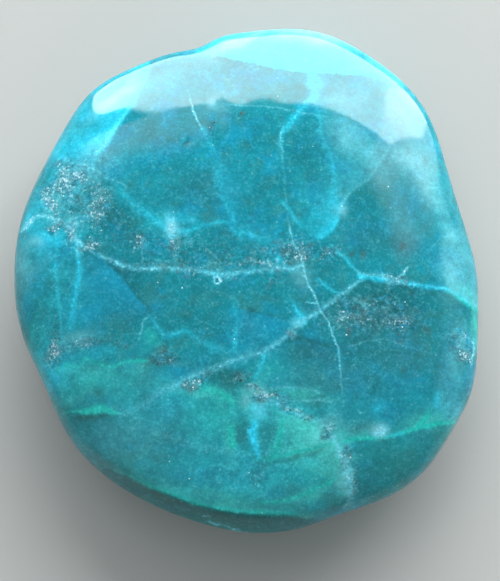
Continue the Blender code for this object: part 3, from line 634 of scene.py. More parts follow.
# Colours: shares of red, green and blue light, and 1.0, since nothing here is see-through.
COLOURS = {
    "body": (0.001, 0.256, 0.309, 1.0),
    "deep": (0.001, 0.220, 0.266, 1.0),
    "clear": (0.020, 0.480, 0.540, 1.0),
    "blue": (0.001, 0.285, 0.430, 1.0),
    "green": (0.015, 0.430, 0.400, 1.0),
    "teal": (0.016, 0.225, 0.240, 1.0),
    "lobe": (0.070, 0.590, 0.545, 1.0),
    "emerald": (0.010, 0.500, 0.450, 1.0),
    "dark": (0.001, 0.080, 0.075, 1.0),
    "film": (0.130, 0.500, 0.570, 1.0),
    "cyan": (0.022, 0.640, 0.840, 1.0),
    "pale": (0.130, 0.580, 0.690, 1.0),
    "milk": (0.240, 0.640, 0.720, 1.0),
    "white": (0.700, 0.860, 0.900, 1.0),
    "grey": (0.150, 0.315, 0.360, 1.0),
    "rust": (0.055, 0.150, 0.165, 1.0),
    "foam": (0.420, 0.680, 0.740, 1.0),
    "black": (0.006, 0.050, 0.060, 1.0),
    "dull": (0.035, 0.160, 0.180, 1.0),
    "brown": (0.045, 0.085, 0.080, 1.0),
    "inclusion": (0.008, 0.045, 0.045, 1.0),
    "floor": (0.46, 0.45, 0.43, 1.0),
    "sky": (0.80, 0.86, 0.90, 1.0),
}

# The marks and their colours, from the lowest layer to the topmost.
MARK_COLOURS = {
    "clear clouds": "clear",
    "blue clouds": "blue",
    "green clouds": "green",
    "dull clouds": "dull",
    "lobe clouds": "lobe",
    "dark clouds": "dark",
    "brown clouds": "brown",
    "dark veils": "dark",
    "dark seams": "dark",
    "blue veils": "blue",
    "green veils": "lobe",
    "green seams": "emerald",
    "cyan veils": "cyan",
    "cyan seams": "cyan",
    "cyan clouds": "cyan",
    "pale veils": "film",
    "pale seams": "pale",
    "pale clouds": "milk",
}

# How far a seam sways, how grainy it is and how strong its halo is, which is HALO_WIDTH times as wide.
SEAM_LOOKS = {
    "dark seams": (0.5, 1.5, 0.20),
    "green seams": (0.5, 2.4, 0.50),
    "cyan seams": (0.9, 3.0, 0.35),
    "pale seams": (0.8, 4.5, 0.32),
}
SEAM_BREAKS = 2.0
HALO_WIDTH = 2.0

# How soft the line is where a veil ends. The cloudy pattern and UNEVEN_LEAST together scale veils and
# clouds.
VEIL_SOFTNESS = {
    "dark veils": 0.25,
    "blue veils": 0.25,
    "green veils": 0.15,
    "cyan veils": 0.25,
    "pale veils": 0.45,
}
VEIL_SWAY = 0.6
UNEVEN_LEAST = 0.5

# Noise patterns: size in millimetres, how many finer sizes they hold, and how rough those are.
PATTERNS = {
    "drift": (7.0, 3.0, 0.55),
    "cloudy": (2.6, 4.0, 0.6),
    "sway": (0.9, 4.0, 0.7),
    "breaks": (1.6, 2.0, 0.5),
    "sugar": (0.9, 5.0, 0.85),
    "lumps": (0.6, 3.0, 0.65),
    "fine": (0.3, 3.0, 0.7),
}
HUE_PATTERN = (3.4, 5.0, 0.68)
MOTTLE_PATTERN = (1.1, 4.0, 0.7)
SHADED_HOLLOW_PATTERN = (0.45, 3.0, 0.7)
BEND_PATTERN = (3.0, 3.0, 0.6)
PATTERN_MIDDLE = 0.5

# Where the deep colour starts and is whole in the drift pattern, and where the crust's spots do in the
# crust.
DEEP_PARTS = (0.35, 0.65)
MOTTLED_CRUST = (0.04, 0.40)

# Spots of colour: which part of the pattern, where a spot starts and is whole in it, strength, colour.
HUE_SPOTS = (
    ("X", 0.50, 0.62, 0.60, "blue"),
    ("Y", 0.50, 0.62, 0.70, "teal"),
)
CRUST_SPOTS = (
    ("X", 0.50, 0.62, 0.60, "rust"),
    ("Y", 0.54, 0.64, 0.75, "blue"),
    ("Z", 0.56, 0.66, 0.45, "film"),
    ("X", 0.46, 0.37, 0.40, "dark"),
)

# The sugary look: how strongly each pattern shades the stone and makes it milky, and how much more
# contrast the crust and the clear parts have.
SUGAR_SHADES = {"sugar": 1.1, "cloudy": 0.8, "fine": 0.9}
SUGAR_MILK = {"sugar": 0.6, "fine": 0.45}
MILK_START = 0.015
PLAIN_CONTRAST = 0.85
CRUST_CONTRAST = 0.6
CLEAR_CONTRAST = 0.5

# Healed cracks: a faint net of lines, whose width is a share of their spacing. It shows where the drift
# and the fine pattern are strong.
CRACK_SPACING = 5.0
CRACK_BEND = 2.2
CRACK_WIDTH = 0.035
CRACK_DRIFT = (0.42, 0.62)
CRACK_FINE = (0.35, 0.65)
CRACK_STRENGTH = 0.18

# Soft pale dots. A dot starts and is whole at these shares of the spacing, and a clear part shows more.
DOT_SPACING = 0.7
DOT_EDGE = (0.26, 0.04)
DOT_CHANCE = (0.55, 1.1)
DOT_CROWDING = 1.2
DOT_STRENGTH = 0.3
CLEAR_DOT_STRENGTH = 0.5

# Grains in the pattern where a field is strong: pattern, how much the field adds to it, where a grain
# starts and is whole in the sum, where grains start and are whole in the field, strength, colour. In the
# crust, one row is painted shade and two are painted glints.
SEAM_FLECKS = (("fine", 0.22, 0.71, 0.83, 0.05, 0.50, 0.60, "white"),)
CRUST_GRAINS_GLINTS_AND_SHADE = (
    ("sugar", 0.0, 0.35, 0.60, 0.20, 0.80, 0.60, "grey"),
    # Painted shade in small hollows of the crust.
    ("hollows", 0.0, 0.42, 0.34, 0.10, 0.60, 0.45, "black"),
    # Painted glints on the crust: foam-coloured shine, then white sparkle.
    ("lumps", 0.16, 0.638, 0.738, 0.10, 0.65, 0.70, "foam"),
    ("fine", 0.14, 0.65, 0.75, 0.25, 0.70, 0.60, "white"),
)

# The finish. Light spreads inside the stone by up to LIGHT_REACH, and by half of that in red.
POLISH_ROUGHNESS = 0.06
CRUST_ROUGHNESS = 0.2
REFRACTIVE_INDEX = 1.54
LIGHT_REACH = 3.0
LIGHT_SPREAD = (0.5, 1.0, 1.0)
GRAIN_RELIEF = 0.0005
CRYSTAL_ROUGHNESS = 0.5
WHITE_GRAIN_ROUGHNESS = 0.2
DARK_GRAIN_ROUGHNESS = 0.4

# Single grains in the surface, white ones and dark ones: x, y and size across. Each is stretched and
# made lumpy at random, and its middle lies GRAIN_SINK of its half height below the surface.
WHITE_GRAINS = (
    (-9.7, -2.0, 0.22), (-7.0, -2.7, 0.18), (-4.1, 15.9, 0.16), (-3.6, 13.6, 0.16), (3.9, 16.7, 0.14),
    (3.6, 19.6, 0.14), (1.9, 14.3, 0.14), (7.5, 13.4, 0.14), (15.8, 9.2, 0.26), (11.1, -7.8, 0.2),
    (16.5, -4.3, 0.22), (17.5, -4.1, 0.2), (10.6, 6.8, 0.2), (-1.2, -8.5, 0.22), (-7.9, 5.9, 0.16),
    (-8.5, -21.6, 0.22), (-9.8, -22.9, 0.18), (-6.3, -23.4, 0.18), (-6.5, -13.1, 0.24),
    (0.3, -22.9, 0.2), (1.1, -24.1, 0.2), (1.8, -27.1, 0.14), (-17.3, 3.2, 0.2), (-16.0, 4.0, 0.18),
    (23.7, -9.2, 0.26), (24.3, -9.6, 0.3), (24.8, -10.1, 0.22), (24.4, -7.4, 0.2),
)
DARK_GRAINS = (
    (-3.6, 16.3, 0.49), (-0.5, 17.5, 0.36), (-4.7, 14.5, 0.21), (-6.5, 14.1, 0.44), (13.3, 0.9, 0.29),
    (17.6, 2.5, 0.26), (15.8, 0.0, 0.23), (11.4, -6.0, 0.31), (13.2, -6.1, 0.47), (17.1, -6.3, 0.29),
    (16.7, -7.6, 0.34), (12.0, -8.8, 0.29), (8.3, -7.3, 0.23), (-7.8, 12.3, 0.21), (-9.6, -11.2, 0.39),
    (-12.3, 2.3, 0.26), (-7.8, 2.4, 0.34), (-0.7, -12.9, 0.44), (4.8, -16.1, 0.34), (6.3, -17.2, 0.29),
    (-13.3, 19.9, 0.21), (-10.8, -5.3, 0.44), (-25.0, 4.2, 0.47), (-3.2, -1.8, 0.39),
)
GRAIN_SINK = 0.55
GRAIN_SEED = 11
GRAIN_STRETCH = (0.6, 1.3)
GRAIN_LUMPS = (0.8, 1.2)
WHITE_GRAIN_FLATNESS = 0.8
DARK_GRAIN_FLATNESS = 0.3

# Crystals strewn over the crust, whose strength goes from 0 to 1. They start at CRUST_START, and
# CRYSTAL_DENSITY is how many more of them a square millimetre has for each 1 of strength past it. A
# higher SIZE_POWER makes more of them small.
CRYSTAL_DENSITY = 18.0
CRUST_START = 0.42
SMALLEST_CRYSTAL = 0.10
LARGEST_CRYSTAL = 0.28
SIZE_POWER = 2.0
CRYSTAL_STRETCH = (0.6, 1.2)
CRYSTAL_FLATNESS = 0.7
CRYSTAL_SEED = 3
CARRIER_RINGS = 64

# The crystals' colours after the darkest: where in a crystal's tint a colour starts and is whole.
CRYSTAL_TINTS = (
    (0.04, 0.07, "rust"),
    (0.14, 0.20, "film"),
    (0.45, 0.65, "foam"),
    (0.76, 1.00, "white"),
)

# The studio, in metres.
FLOOR_SIZE = 6.0
FLOOR_ROUGHNESS = 0.8
FLOOR_SHINE = 0.1
SKY_BRIGHTNESS = 0.42
WINDOW_LIGHT = (0.91, 0.98, 1.0)

# The window: place, aim, width and height, brightness. Its lit part is given across from its left end
# and up from its foot, as shares of its size. The left end slants and has a tail low down, its far
# corner is cut off at a steeper slant. Pairs say where the light starts and is whole, and a third value
# how much of the brightness comes or goes there.
WINDOW = ((0.16, 0.50, 0.36), (0.16, 0.0, 0.36), (0.96, 0.72), 9.2)
TAIL_LENGTH = 0.075
TAIL_TOP = (0.314, 0.278)
LEFT_SLANT = 0.19
LEFT_END = (0.02, 0.05)
CORNER_SLANT = 0.54
SOFT_CORNER = (-0.205, -0.125)
CRISP_CORNER = (-0.168, -0.153)
CORNER_CRISP_FROM = (0.62, 0.74)
RIGHT_SLANT = 0.09
RIGHT_END = (1.018, 0.998)
TOP_END = (0.978, 0.958)
PLAIN_PANE = 0.80
BRIGHTER_LEFT = (0.14, 0.08, 0.12)
DIMMER_TOP = (0.4, 1.0, 0.08)
DIMMER_RIGHT = (0.84, 0.99, 0.12)

# The other light panels: name, place, aim, width and height, brightness, how the light fades (which
# way, where it starts and is whole), and whether the stone mirrors it.
SOFT_FADES = (("across", 0.0, 0.4), ("across", 1.0, 0.6), ("up", 1.0, 0.4))
SIDE_FADES = (("across", 0.0, 0.05), ("across", 0.95, 0.82), ("up", 1.0, 0.5))
WALL_FADES = (("across", 0.0, 0.15), ("across", 1.0, 0.75), ("up", 0.0, 0.05), ("up", 1.0, 0.4))
SIDE_WALL_FADES = WALL_FADES + (("across", 0.90, 0.60),)
PANELS = (
    ("side window", (0.51, 0.43, 0.33), (0.0, 0.43, 0.33), (0.30, 0.66), 3.3, SIDE_FADES, True),
    ("fill", (-0.05, -0.55, 0.35), (0.0, 0.0, 0.0), (0.7, 0.3), 2.3, SOFT_FADES, False),
    ("ceiling", (-0.25, 0.20, 0.9), (0.0, 0.0, 0.0), (0.7, 0.5), 1.6, SOFT_FADES, False),
    ("far wall", (-0.30, 0.52, 0.76), (-0.30, 0.0, 0.76), (0.56, 0.64), 1.7, WALL_FADES, True),
    ("side wall", (0.53, 0.44, 0.95), (0.0, 0.44, 0.95), (0.34, 0.85), 1.6, SIDE_WALL_FADES, True),
)

# The camera looks down from the near side, as the photographer did. Sizes are in metres, and the
# sensor's is in millimetres.
CAMERA_HEIGHT_ANGLE = 78.0
CAMERA_DISTANCE = 0.300
FRAME_HEIGHT = 0.06536
SENSOR = 36.0
AIM = (0.00044, -0.00157, 0.009)
NEAREST_SEEN = 0.01
FARTHEST_SEEN = 20.0

# Plain names for the sockets of node groups.
SOCKETS = {
    "number": "NodeSocketFloat",
    "whole number": "NodeSocketInt",
    "vector": "NodeSocketVector",
    "mesh": "NodeSocketGeometry",
    "material": "NodeSocketMaterial",
}


def closed_curve(knots, angles):
    """Radius at each angle, on the smooth closed curve through the knots (degrees, radius)."""
    knot_angle = np.radians([knot[0] for knot in knots])
    radius = np.array([knot[1] for knot in knots])
    count = len(knots)
    gap = np.diff(np.append(knot_angle, knot_angle[0] + 2 * math.pi))
    rise = np.diff(np.append(radius, radius[0])) / gap
    system = np.zeros((count, count))
    right_side = np.zeros(count)
    for i in range(count):
        before = i - 1
        after = (i + 1) % count
        system[i, before] += gap[before]
        system[i, i] += 2 * (gap[before] + gap[i])
        system[i, after] += gap[i]
        right_side[i] = 6 * (rise[i] - rise[before])
    bend = np.linalg.solve(system, right_side)
    turn = np.mod(angles - knot_angle[0], 2 * math.pi) + knot_angle[0]
    span = np.clip(np.searchsorted(knot_angle, turn, side="right") - 1, 0, count - 1)
    after = (span + 1) % count
    along = turn - knot_angle[span]
    slope = rise[span] - gap[span] * (2 * bend[span] + bend[after]) / 6
    cubic = (bend[after] - bend[span]) / (6 * gap[span])
    return radius[span] + along * (slope + along * (bend[span] / 2 + along * cubic))


def fall(share_out, reach, drop):
    """Height left, from 1 at the middle to 0 at the waist, at a share of the way out."""
    return np.maximum(0.0, 1.0 - share_out**reach) ** (1.0 / drop)


def crown(share_out, angle):
    """Height of the top above the waist, with the crisp edge along the near side."""
    smooth = CROWN_HEIGHT * fall(share_out, CROWN_REACH, CROWN_DROP)
    radius = closed_curve(OUTLINE, angle)
    low_crown = CROWN_HEIGHT - (CROWN_HEIGHT - EDGE_HEIGHT) * share_out**EDGE_REACH
    steep_face = EDGE_FACE * (radius * (1.0 - share_out)) ** EDGE_POWER
    crisp = -EDGE_SOFTNESS * np.logaddexp(-low_crown / EDGE_SOFTNESS, -steep_face / EDGE_SOFTNESS)
    away = np.degrees(np.angle(np.exp(1j * (angle - math.radians(EDGE_TURN)))))
    share = np.clip((EDGE_GONE - np.abs(away)) / (EDGE_GONE - EDGE_WHOLE), 0.0, 1.0)
    share = share * share * (3.0 - 2.0 * share)
    return smooth + share * (np.maximum(crisp, 0.0) - smooth)


def belly(share_out, angle):
    """Depth of the underside below the waist. It is level inside the flat."""
    past_flat = np.clip((share_out - FLAT_SHARE) / (1.0 - FLAT_SHARE), 0.0, 1.0)
    drop = BELLY_DROP + BELLY_CHANGE * np.cos(angle - math.radians(BELLY_TURN))
    return WAIST_HEIGHT * fall(past_flat, BELLY_REACH, drop)


def ring_places(rings, height):
    """Where the rings lie from the middle to the waist, closer together where the side is steep."""
    share_out = 1.0 - np.linspace(1.0, 0.0, SPACING_STEPS) ** 3
    mean_radius = np.mean([knot[1] for knot in OUTLINE])
    drop = np.diff(height(share_out)) * DROP_WEIGHT
    step = np.hypot(np.diff(share_out) * mean_radius, drop)
    travelled = np.append(0.0, np.cumsum(step))
    return np.interp(np.linspace(0.0, travelled[-1], rings + 1), travelled, share_out)


def disc(rings):
    """Ring number and angle of each point of a disc whose ring k has 6k points, and its triangles."""
    ring = [0]
    angle = [0.0]
    triangles = []
    for k in range(1, rings + 1):
        ring.extend([k] * (6 * k))
        angle.extend(2 * math.pi * i / (6 * k) for i in range(6 * k))
        outer = 1 + 3 * k * (k - 1)
        inner = 0 if k == 1 else 1 + 3 * (k - 1) * (k - 2)
        inner_count = max(1, 6 * (k - 1))
        for sector in range(6):
            for i in range(k):
                a = outer + sector * k + i
                b = outer + (sector * k + i + 1) % (6 * k)
                c = inner + (sector * (k - 1) + i) % inner_count
                d = inner + (sector * (k - 1) + i + 1) % inner_count
                triangles.append((a, b, c))
                if i < k - 1:
                    triangles.append((c, b, d))
    return np.array(ring), np.array(angle), triangles


def swell(x, y):
    """Height that the swells and hollows add at a place."""
    total = np.zeros_like(x)
    for swell_x, swell_y, width, rise in SWELLS:
        total += rise * np.exp(-((x - swell_x) ** 2 + (y - swell_y) ** 2) / width**2)
    return total


def wear(points, share):
    """The points with the worn faces pressed in, by the share of the wear that each one takes."""
    middle = np.array([0.0, 0.0, WAIST_HEIGHT])
    for turn, tilt, depth, softness in WORN_FACES:
        turn = math.radians(turn)
        tilt = math.radians(tilt)
        level = math.cos(tilt)
        facing = np.array([math.cos(turn) * level, math.sin(turn) * level, math.sin(tilt)])
        out = (points - middle) @ facing
        cut = softness * np.logaddexp(0.0, (out - out.max() + depth) / softness)
        points = points - (share * cut)[:, None] * facing
    return points


def stone_mesh(rings):
    """Points and triangles of the whole stone, and how deep each point lies below the top."""
    ring, angle, triangles = disc(rings)
    top_out = ring_places(rings, lambda out: CROWN_HEIGHT * fall(out, CROWN_REACH, CROWN_DROP))[ring]
    under_out = ring_places(rings, lambda out: belly(out, 0.0))[ring]
    radius = closed_curve(OUTLINE, angle)
    across = np.stack([np.cos(angle) * radius, np.sin(angle) * radius], axis=1)

    top = np.column_stack([across * top_out[:, None], WAIST_HEIGHT + crown(top_out, angle)])
    above = (top[:, 2] - WAIST_HEIGHT) / CROWN_HEIGHT
    top[:, 2] += above * swell(top[:, 0], top[:, 1])
    top = wear(top, np.clip(above / WHOLE_WEAR, 0.0, 1.0))
    under = np.column_stack([across * under_out[:, None], WAIST_HEIGHT - belly(under_out, angle)])
    under_depth = belly(under_out, angle) + crown(under_out, angle)

    waist = ring == rings
    points = np.concatenate([top, under[~waist]])
    depth = np.concatenate([np.zeros(len(top)), under_depth[~waist]])
    under_number = np.arange(len(ring)) + len(top)
    under_number[waist] = np.nonzero(waist)[0]
    turned_over = [tuple(int(under_number[i]) for i in reversed(face)) for face in triangles]
    low = points.min(axis=0)
    high = points.max(axis=0)
    points = points - np.array([(low[0] + high[0]) / 2, (low[1] + high[1]) / 2, low[2]])
    return points, triangles + turned_over, depth


def new_mesh(name, points, faces):
    """A mesh from points in millimetres."""
    mesh = bpy.data.meshes.new(name)
    mesh.from_pydata((points * MM).tolist(), [], faces)
    return mesh


def new_object(name, data):
    """An object in the scene."""
    made = bpy.data.objects.new(name, data)
    bpy.context.scene.collection.objects.link(made)
    return made


def read_vectors(items, name):
    """A vector of each item of a mesh, one to a row."""
    values = np.empty(len(items) * 3, dtype=np.float32)
    items.foreach_get(name, values)
    return values.reshape(-1, 3)


def noise_field(points, size, seed):
    """Smooth noise at each point, from about -1 to 1, with features of that size."""
    offset = Vector(NOISE_STEP) * seed
    return np.array([noise.noise(Vector(point) / size + offset) for point in points])


def relief(mesh, points):
    """The points with the wavy polish, the far swell and the pits."""
    rise = WAVE_HEIGHT * noise_field(points, WAVE_SIZE, WAVE_SEED)
    on_top = points[:, 2] > WAIST_HEIGHT
    x, y, left, right, half_length, height = FAR_SWELL
    half_width = np.where(points[:, 0] < x, left, right)
    square = ((points[:, 0] - x) / half_width) ** 2 + ((points[:, 1] - y) / half_length) ** 2
    rise += on_top * height * np.exp(-square)
    for x, y, radius, depth in PITS:
        square = (points[:, 0] - x) ** 2 + (points[:, 1] - y) ** 2
        rise -= on_top * depth * np.exp(-square / radius**2)
    standing = np.clip(points[:, 2] / STANDING_FADE, 0.0, 1.0)
    return points + (rise * standing)[:, None] * read_vectors(mesh.vertex_normals, "vector")


def smooth_path(knots):
    """Close places along the smooth line through the knots, each with its other values."""
    knots = np.array(knots)
    ends = np.vstack([2 * knots[0] - knots[1], knots, 2 * knots[-1] - knots[-2]])
    rows = []
    for before, start, end, after in zip(ends, ends[1:], ends[2:], ends[3:]):
        steps = max(1, int(math.dist(start[:2], end[:2]) / PATH_STEP))
        for t in np.arange(steps) / steps:
            bend = 2 * before - 5 * start + 4 * end - after
            twist = 3 * start - before - 3 * end + after
            rows.append(start + 0.5 * t * ((end - before) + t * (bend + t * twist)))
    rows.append(knots[-1])
    path = np.array(rows)
    path[:, 2:] = np.maximum(path[:, 2:], 0.0)
    return path


def beside(x, y, path):
    """Distance from the path (more than 0 on its left), its two values there, and how far past its end."""
    nearest = np.full(len(x), np.inf)
    distance = np.zeros(len(x))
    values = np.zeros((len(x), 2))
    past = np.zeros(len(x))
    last = len(path) - 2
    for i in range(len(path) - 1):
        start = path[i]
        end = path[i + 1]
        step = end[:2] - start[:2]
        length = math.hypot(*step)
        share = ((x - start[0]) * step[0] + (y - start[1]) * step[1]) / length**2
        held = np.clip(share, 0.0, 1.0)
        gap = np.hypot(x - start[0] - held * step[0], y - start[1] - held * step[1])
        left = step[0] * (y - start[1]) - step[1] * (x - start[0]) >= 0.0
        closer = gap < nearest
        nearest[closer] = gap[closer]
        distance[closer] = np.where(left, gap, -gap)[closer]
        values[closer] = (start[2:] + held[:, None] * (end[2:] - start[2:]))[closer]
        over = np.zeros(len(x))
        if i == 0:
            over = np.maximum(over, -share * length)
        if i == last:
            over = np.maximum(over, (share - 1.0) * length)
        past[closer] = over[closer]
    return distance, values, past


def near_path(x, y, path, reach):
    """Which places lie in the box round the path."""
    low = path[:, :2].min(axis=0) - reach
    high = path[:, :2].max(axis=0) + reach
    return (x > low[0]) & (x < high[0]) & (y > low[1]) & (y < high[1])


def seam_field(places, depth, knots, lean):
    """Where a seam counts, and its distance, half width and strength there."""
    path = smooth_path(knots)
    reach = SEAM_REACH * path[:, 2].max() + SEAM_BORDER
    x = places[:, 0] - lean[0] * depth
    y = places[:, 1] - lean[1] * depth
    near = near_path(x, y, path, reach + SEAM_MARGIN)
    distance, values, past = beside(x[near], y[near], path)
    strength = values[:, 1] * np.clip((reach - np.abs(distance)) / (SEAM_OUTER_SHARE * reach), 0.0, 1.0)
    strength *= np.clip(1.0 - past / SEAM_END_TAPER, 0.0, 1.0)
    field = np.tile(NO_SEAM, (len(x), 1))
    field[near] = np.column_stack([distance, values[:, 0], strength])
    counts = near.copy()
    counts[near] = np.abs(distance) < reach + SEAM_MARGIN
    return counts, field


def veil_field(places, depth, knots, lean):
    """Where a veil counts, and its distance and strength there."""
    path = smooth_path(knots)
    reach = VEIL_REACH * path[:, 2].max()
    x = places[:, 0] - lean[0] * depth
    y = places[:, 1] - lean[1] * depth
    near = near_path(x, y, path, reach)
    distance, values, past = beside(x[near], y[near], path)
    fade = np.maximum(values[:, 0], SHORTEST_VEIL)
    away = np.abs(distance)
    strength = values[:, 1] * np.exp(-depth[near] / VEIL_DEPTH) * np.exp(-away / fade)
    strength *= np.clip((VEIL_REACH * fade - away) / fade, 0.0, 1.0)
    strength *= np.clip(1.0 - past / VEIL_END_TAPER, 0.0, 1.0)
    field = np.tile(NO_VEIL, (len(x), 1))
    field[near] = np.column_stack([distance, strength, np.zeros(len(fade))])
    counts = near.copy()
    counts[near] = (strength > FAINTEST_VEIL) & (distance > -VEIL_BEHIND)
    return counts, field


def share_layers(fields, empty):
    """The fields, with those that never meet laid in one layer."""
    layers = []
    for counts, field in fields:
        for taken, layer in layers:
            if not (taken & counts).any():
                taken |= counts
                layer[counts] = field[counts]
                break
        else:
            layer = np.tile(empty, (len(field), 1))
            layer[counts] = field[counts]
            layers.append((counts.copy(), layer))
    return [layer for taken, layer in layers]


def cloud_field(places, depth, clouds, lean):
    """How strong the clouds are at each place, from 0 to 1."""
    x = places[:, 0] - lean[0] * depth
    y = places[:, 1] - lean[1] * depth
    clear = np.ones(len(x))
    for cloud_x, cloud_y, half_length, half_width, turn, strength in clouds:
        cos = math.cos(math.radians(turn))
        sin = math.sin(math.radians(turn))
        along = ((x - cloud_x) * cos + (y - cloud_y) * sin) / half_length
        across = ((y - cloud_y) * cos - (x - cloud_x) * sin) / half_width
        clear *= 1.0 - strength * np.exp(-(along**2 + across**2))
    return (1.0 - clear) * np.exp(-depth / CLOUD_DEPTH)


def warped_places(points):
    """The points, pushed about so that the clouds' edges are uneven."""
    warped = points.copy()
    for axis, seed in enumerate(CLOUD_WARP_SEEDS):
        warped[:, axis] += CLOUD_WARP * noise_field(points, CLOUD_WARP_SIZE, seed)
    return warped


def mark_stone(mesh, points, depth):
    """Give the mesh its seams, veils and clouds. It returns the names of each mark's layers."""
    random = np.random.default_rng(LEAN_SEED)
    layers = {}

    def keep(name, fields, empty):
        layers[name] = []
        for i, layer in enumerate(share_layers(fields, empty)):
            attribute = mesh.attributes.new(f"{name} {i + 1}", "FLOAT_VECTOR", "POINT")
            attribute.data.foreach_set("vector", layer.ravel())
            layers[name].append(attribute.name)

    for kind, lines in SEAMS.items():
        fields = []
        for knots in lines:
            counts, field = seam_field(points, depth, knots, random.uniform(-LEAN, LEAN, 2))
            field[:, 2] *= np.exp(-depth / SEAM_DEPTH[kind])
            fields.append((counts, field))
        keep(kind + " seams", fields, NO_SEAM)
    for kind, lines in VEILS.items():
        fields = [veil_field(points, depth, knots, random.uniform(-LEAN, LEAN, 2)) for knots in lines]
        keep(kind + " veils", fields, NO_VEIL)
    warped = warped_places(points)
    for kind, clouds in CLOUDS.items():
        attribute = mesh.attributes.new(kind + " clouds", "FLOAT", "POINT")
        strength = cloud_field(warped, depth, clouds, random.uniform(-LEAN, LEAN, 2))
        attribute.data.foreach_set("value", strength)
    return layers


class Nodes:
    """Adds nodes to a tree. An input is a plain value or another node's output."""

    def __init__(self, tree):
        self.tree = tree

    def add(self, kind, inputs=None, **settings):
        """A node, by its whole name, or without ShaderNode."""
        whole = kind if kind.startswith(("Geometry", "Function")) else "ShaderNode" + kind
        node = self.tree.nodes.new(whole)
        for name, value in settings.items():
            setattr(node, name, value)
        for name, value in (inputs or {}).items():
            self.set(node.inputs[name], value)
        return node

    def set(self, socket, value):
        if isinstance(value, bpy.types.NodeSocket):
            self.tree.links.new(value, socket)
        else:
            socket.default_value = value

    def calculate(self, operation, first, second=0.0, clamp=False):
        return self.add("Math", {0: first, 1: second}, operation=operation, use_clamp=clamp).outputs[0]

    def plus(self, first, second):
        return self.calculate("ADD", first, second)

    def minus(self, first, second):
        return self.calculate("SUBTRACT", first, second)

    def times(self, first, second):
        return self.calculate("MULTIPLY", first, second)

    def ramp(self, value, start, whole):
        """From 0 where the value is at its start to 1 where it is whole."""
        inputs = {"Value": value, "From Min": start, "From Max": whole}
        return self.add("MapRange", inputs, interpolation_type="SMOOTHSTEP").outputs["Result"]

    def together(self, amounts):
        """How much of a place several layers cover together."""
        left = 1.0
        for amount in amounts:
            left = self.times(left, self.minus(1.0, amount))
        return self.minus(1.0, left)

    def mix(self, factor, first, second, blend="MIX"):
        inputs = {0: factor, 6: first, 7: second}
        return self.add("Mix", inputs, data_type="RGBA", blend_type=blend, clamp_factor=True).outputs[2]

    def parts(self, vector):
        return self.add("SeparateXYZ", {0: vector}).outputs

    def attribute(self, name, output="Fac"):
        return self.add("Attribute", attribute_name=name).outputs[output]


def new_group(name, kind, inputs, outputs):
    """A node group with named sockets: its nodes, and the ends to wire to."""
    tree = bpy.data.node_groups.new(name, kind)
    for way, sockets in (("INPUT", inputs), ("OUTPUT", outputs)):
        for socket, value in sockets.items():
            tree.interface.new_socket(name=socket, in_out=way, socket_type=SOCKETS[value])
    given = tree.nodes.new("NodeGroupInput").outputs
    result = tree.nodes.new("NodeGroupOutput").inputs
    return Nodes(tree), given, result


def seam_group():
    """A ragged line. Place holds the distance from it, its half width and its strength."""
    nodes, given, result = new_group(
        "seam",
        "ShaderNodeTree",
        {"Place": "vector", "Sway": "number", "Grain": "number", "Halo": "number"},
        {"Amount": "number", "Around": "number"},
    )
    place = nodes.parts(given["Place"])
    share = nodes.calculate("DIVIDE", nodes.plus(place["X"], given["Sway"]), place["Y"])
    square = nodes.times(share, share)
    core = nodes.calculate("EXPONENT", nodes.minus(given["Grain"], square))
    around = nodes.calculate("EXPONENT", nodes.times(square, -1.0 / HALO_WIDTH**2))
    whole = nodes.plus(core, nodes.times(around, given["Halo"]))
    nodes.set(result["Amount"], nodes.calculate("MULTIPLY", whole, place["Z"], clamp=True))
    nodes.set(result["Around"], nodes.times(around, place["Z"]))
    return nodes.tree


def veil_group():
    """A sheet that ends at a line. Place holds the distance from it and the sheet's strength."""
    nodes, given, result = new_group(
        "veil",
        "ShaderNodeTree",
        {"Place": "vector", "Sway": "number", "Softness": "number"},
        {"Amount": "number"},
    )
    place = nodes.parts(given["Place"])
    away = nodes.plus(place["X"], given["Sway"])
    inside = nodes.ramp(away, nodes.times(given["Softness"], -1.0), given["Softness"])
    nodes.set(result["Amount"], nodes.times(inside, place["Y"]))
    return nodes.tree


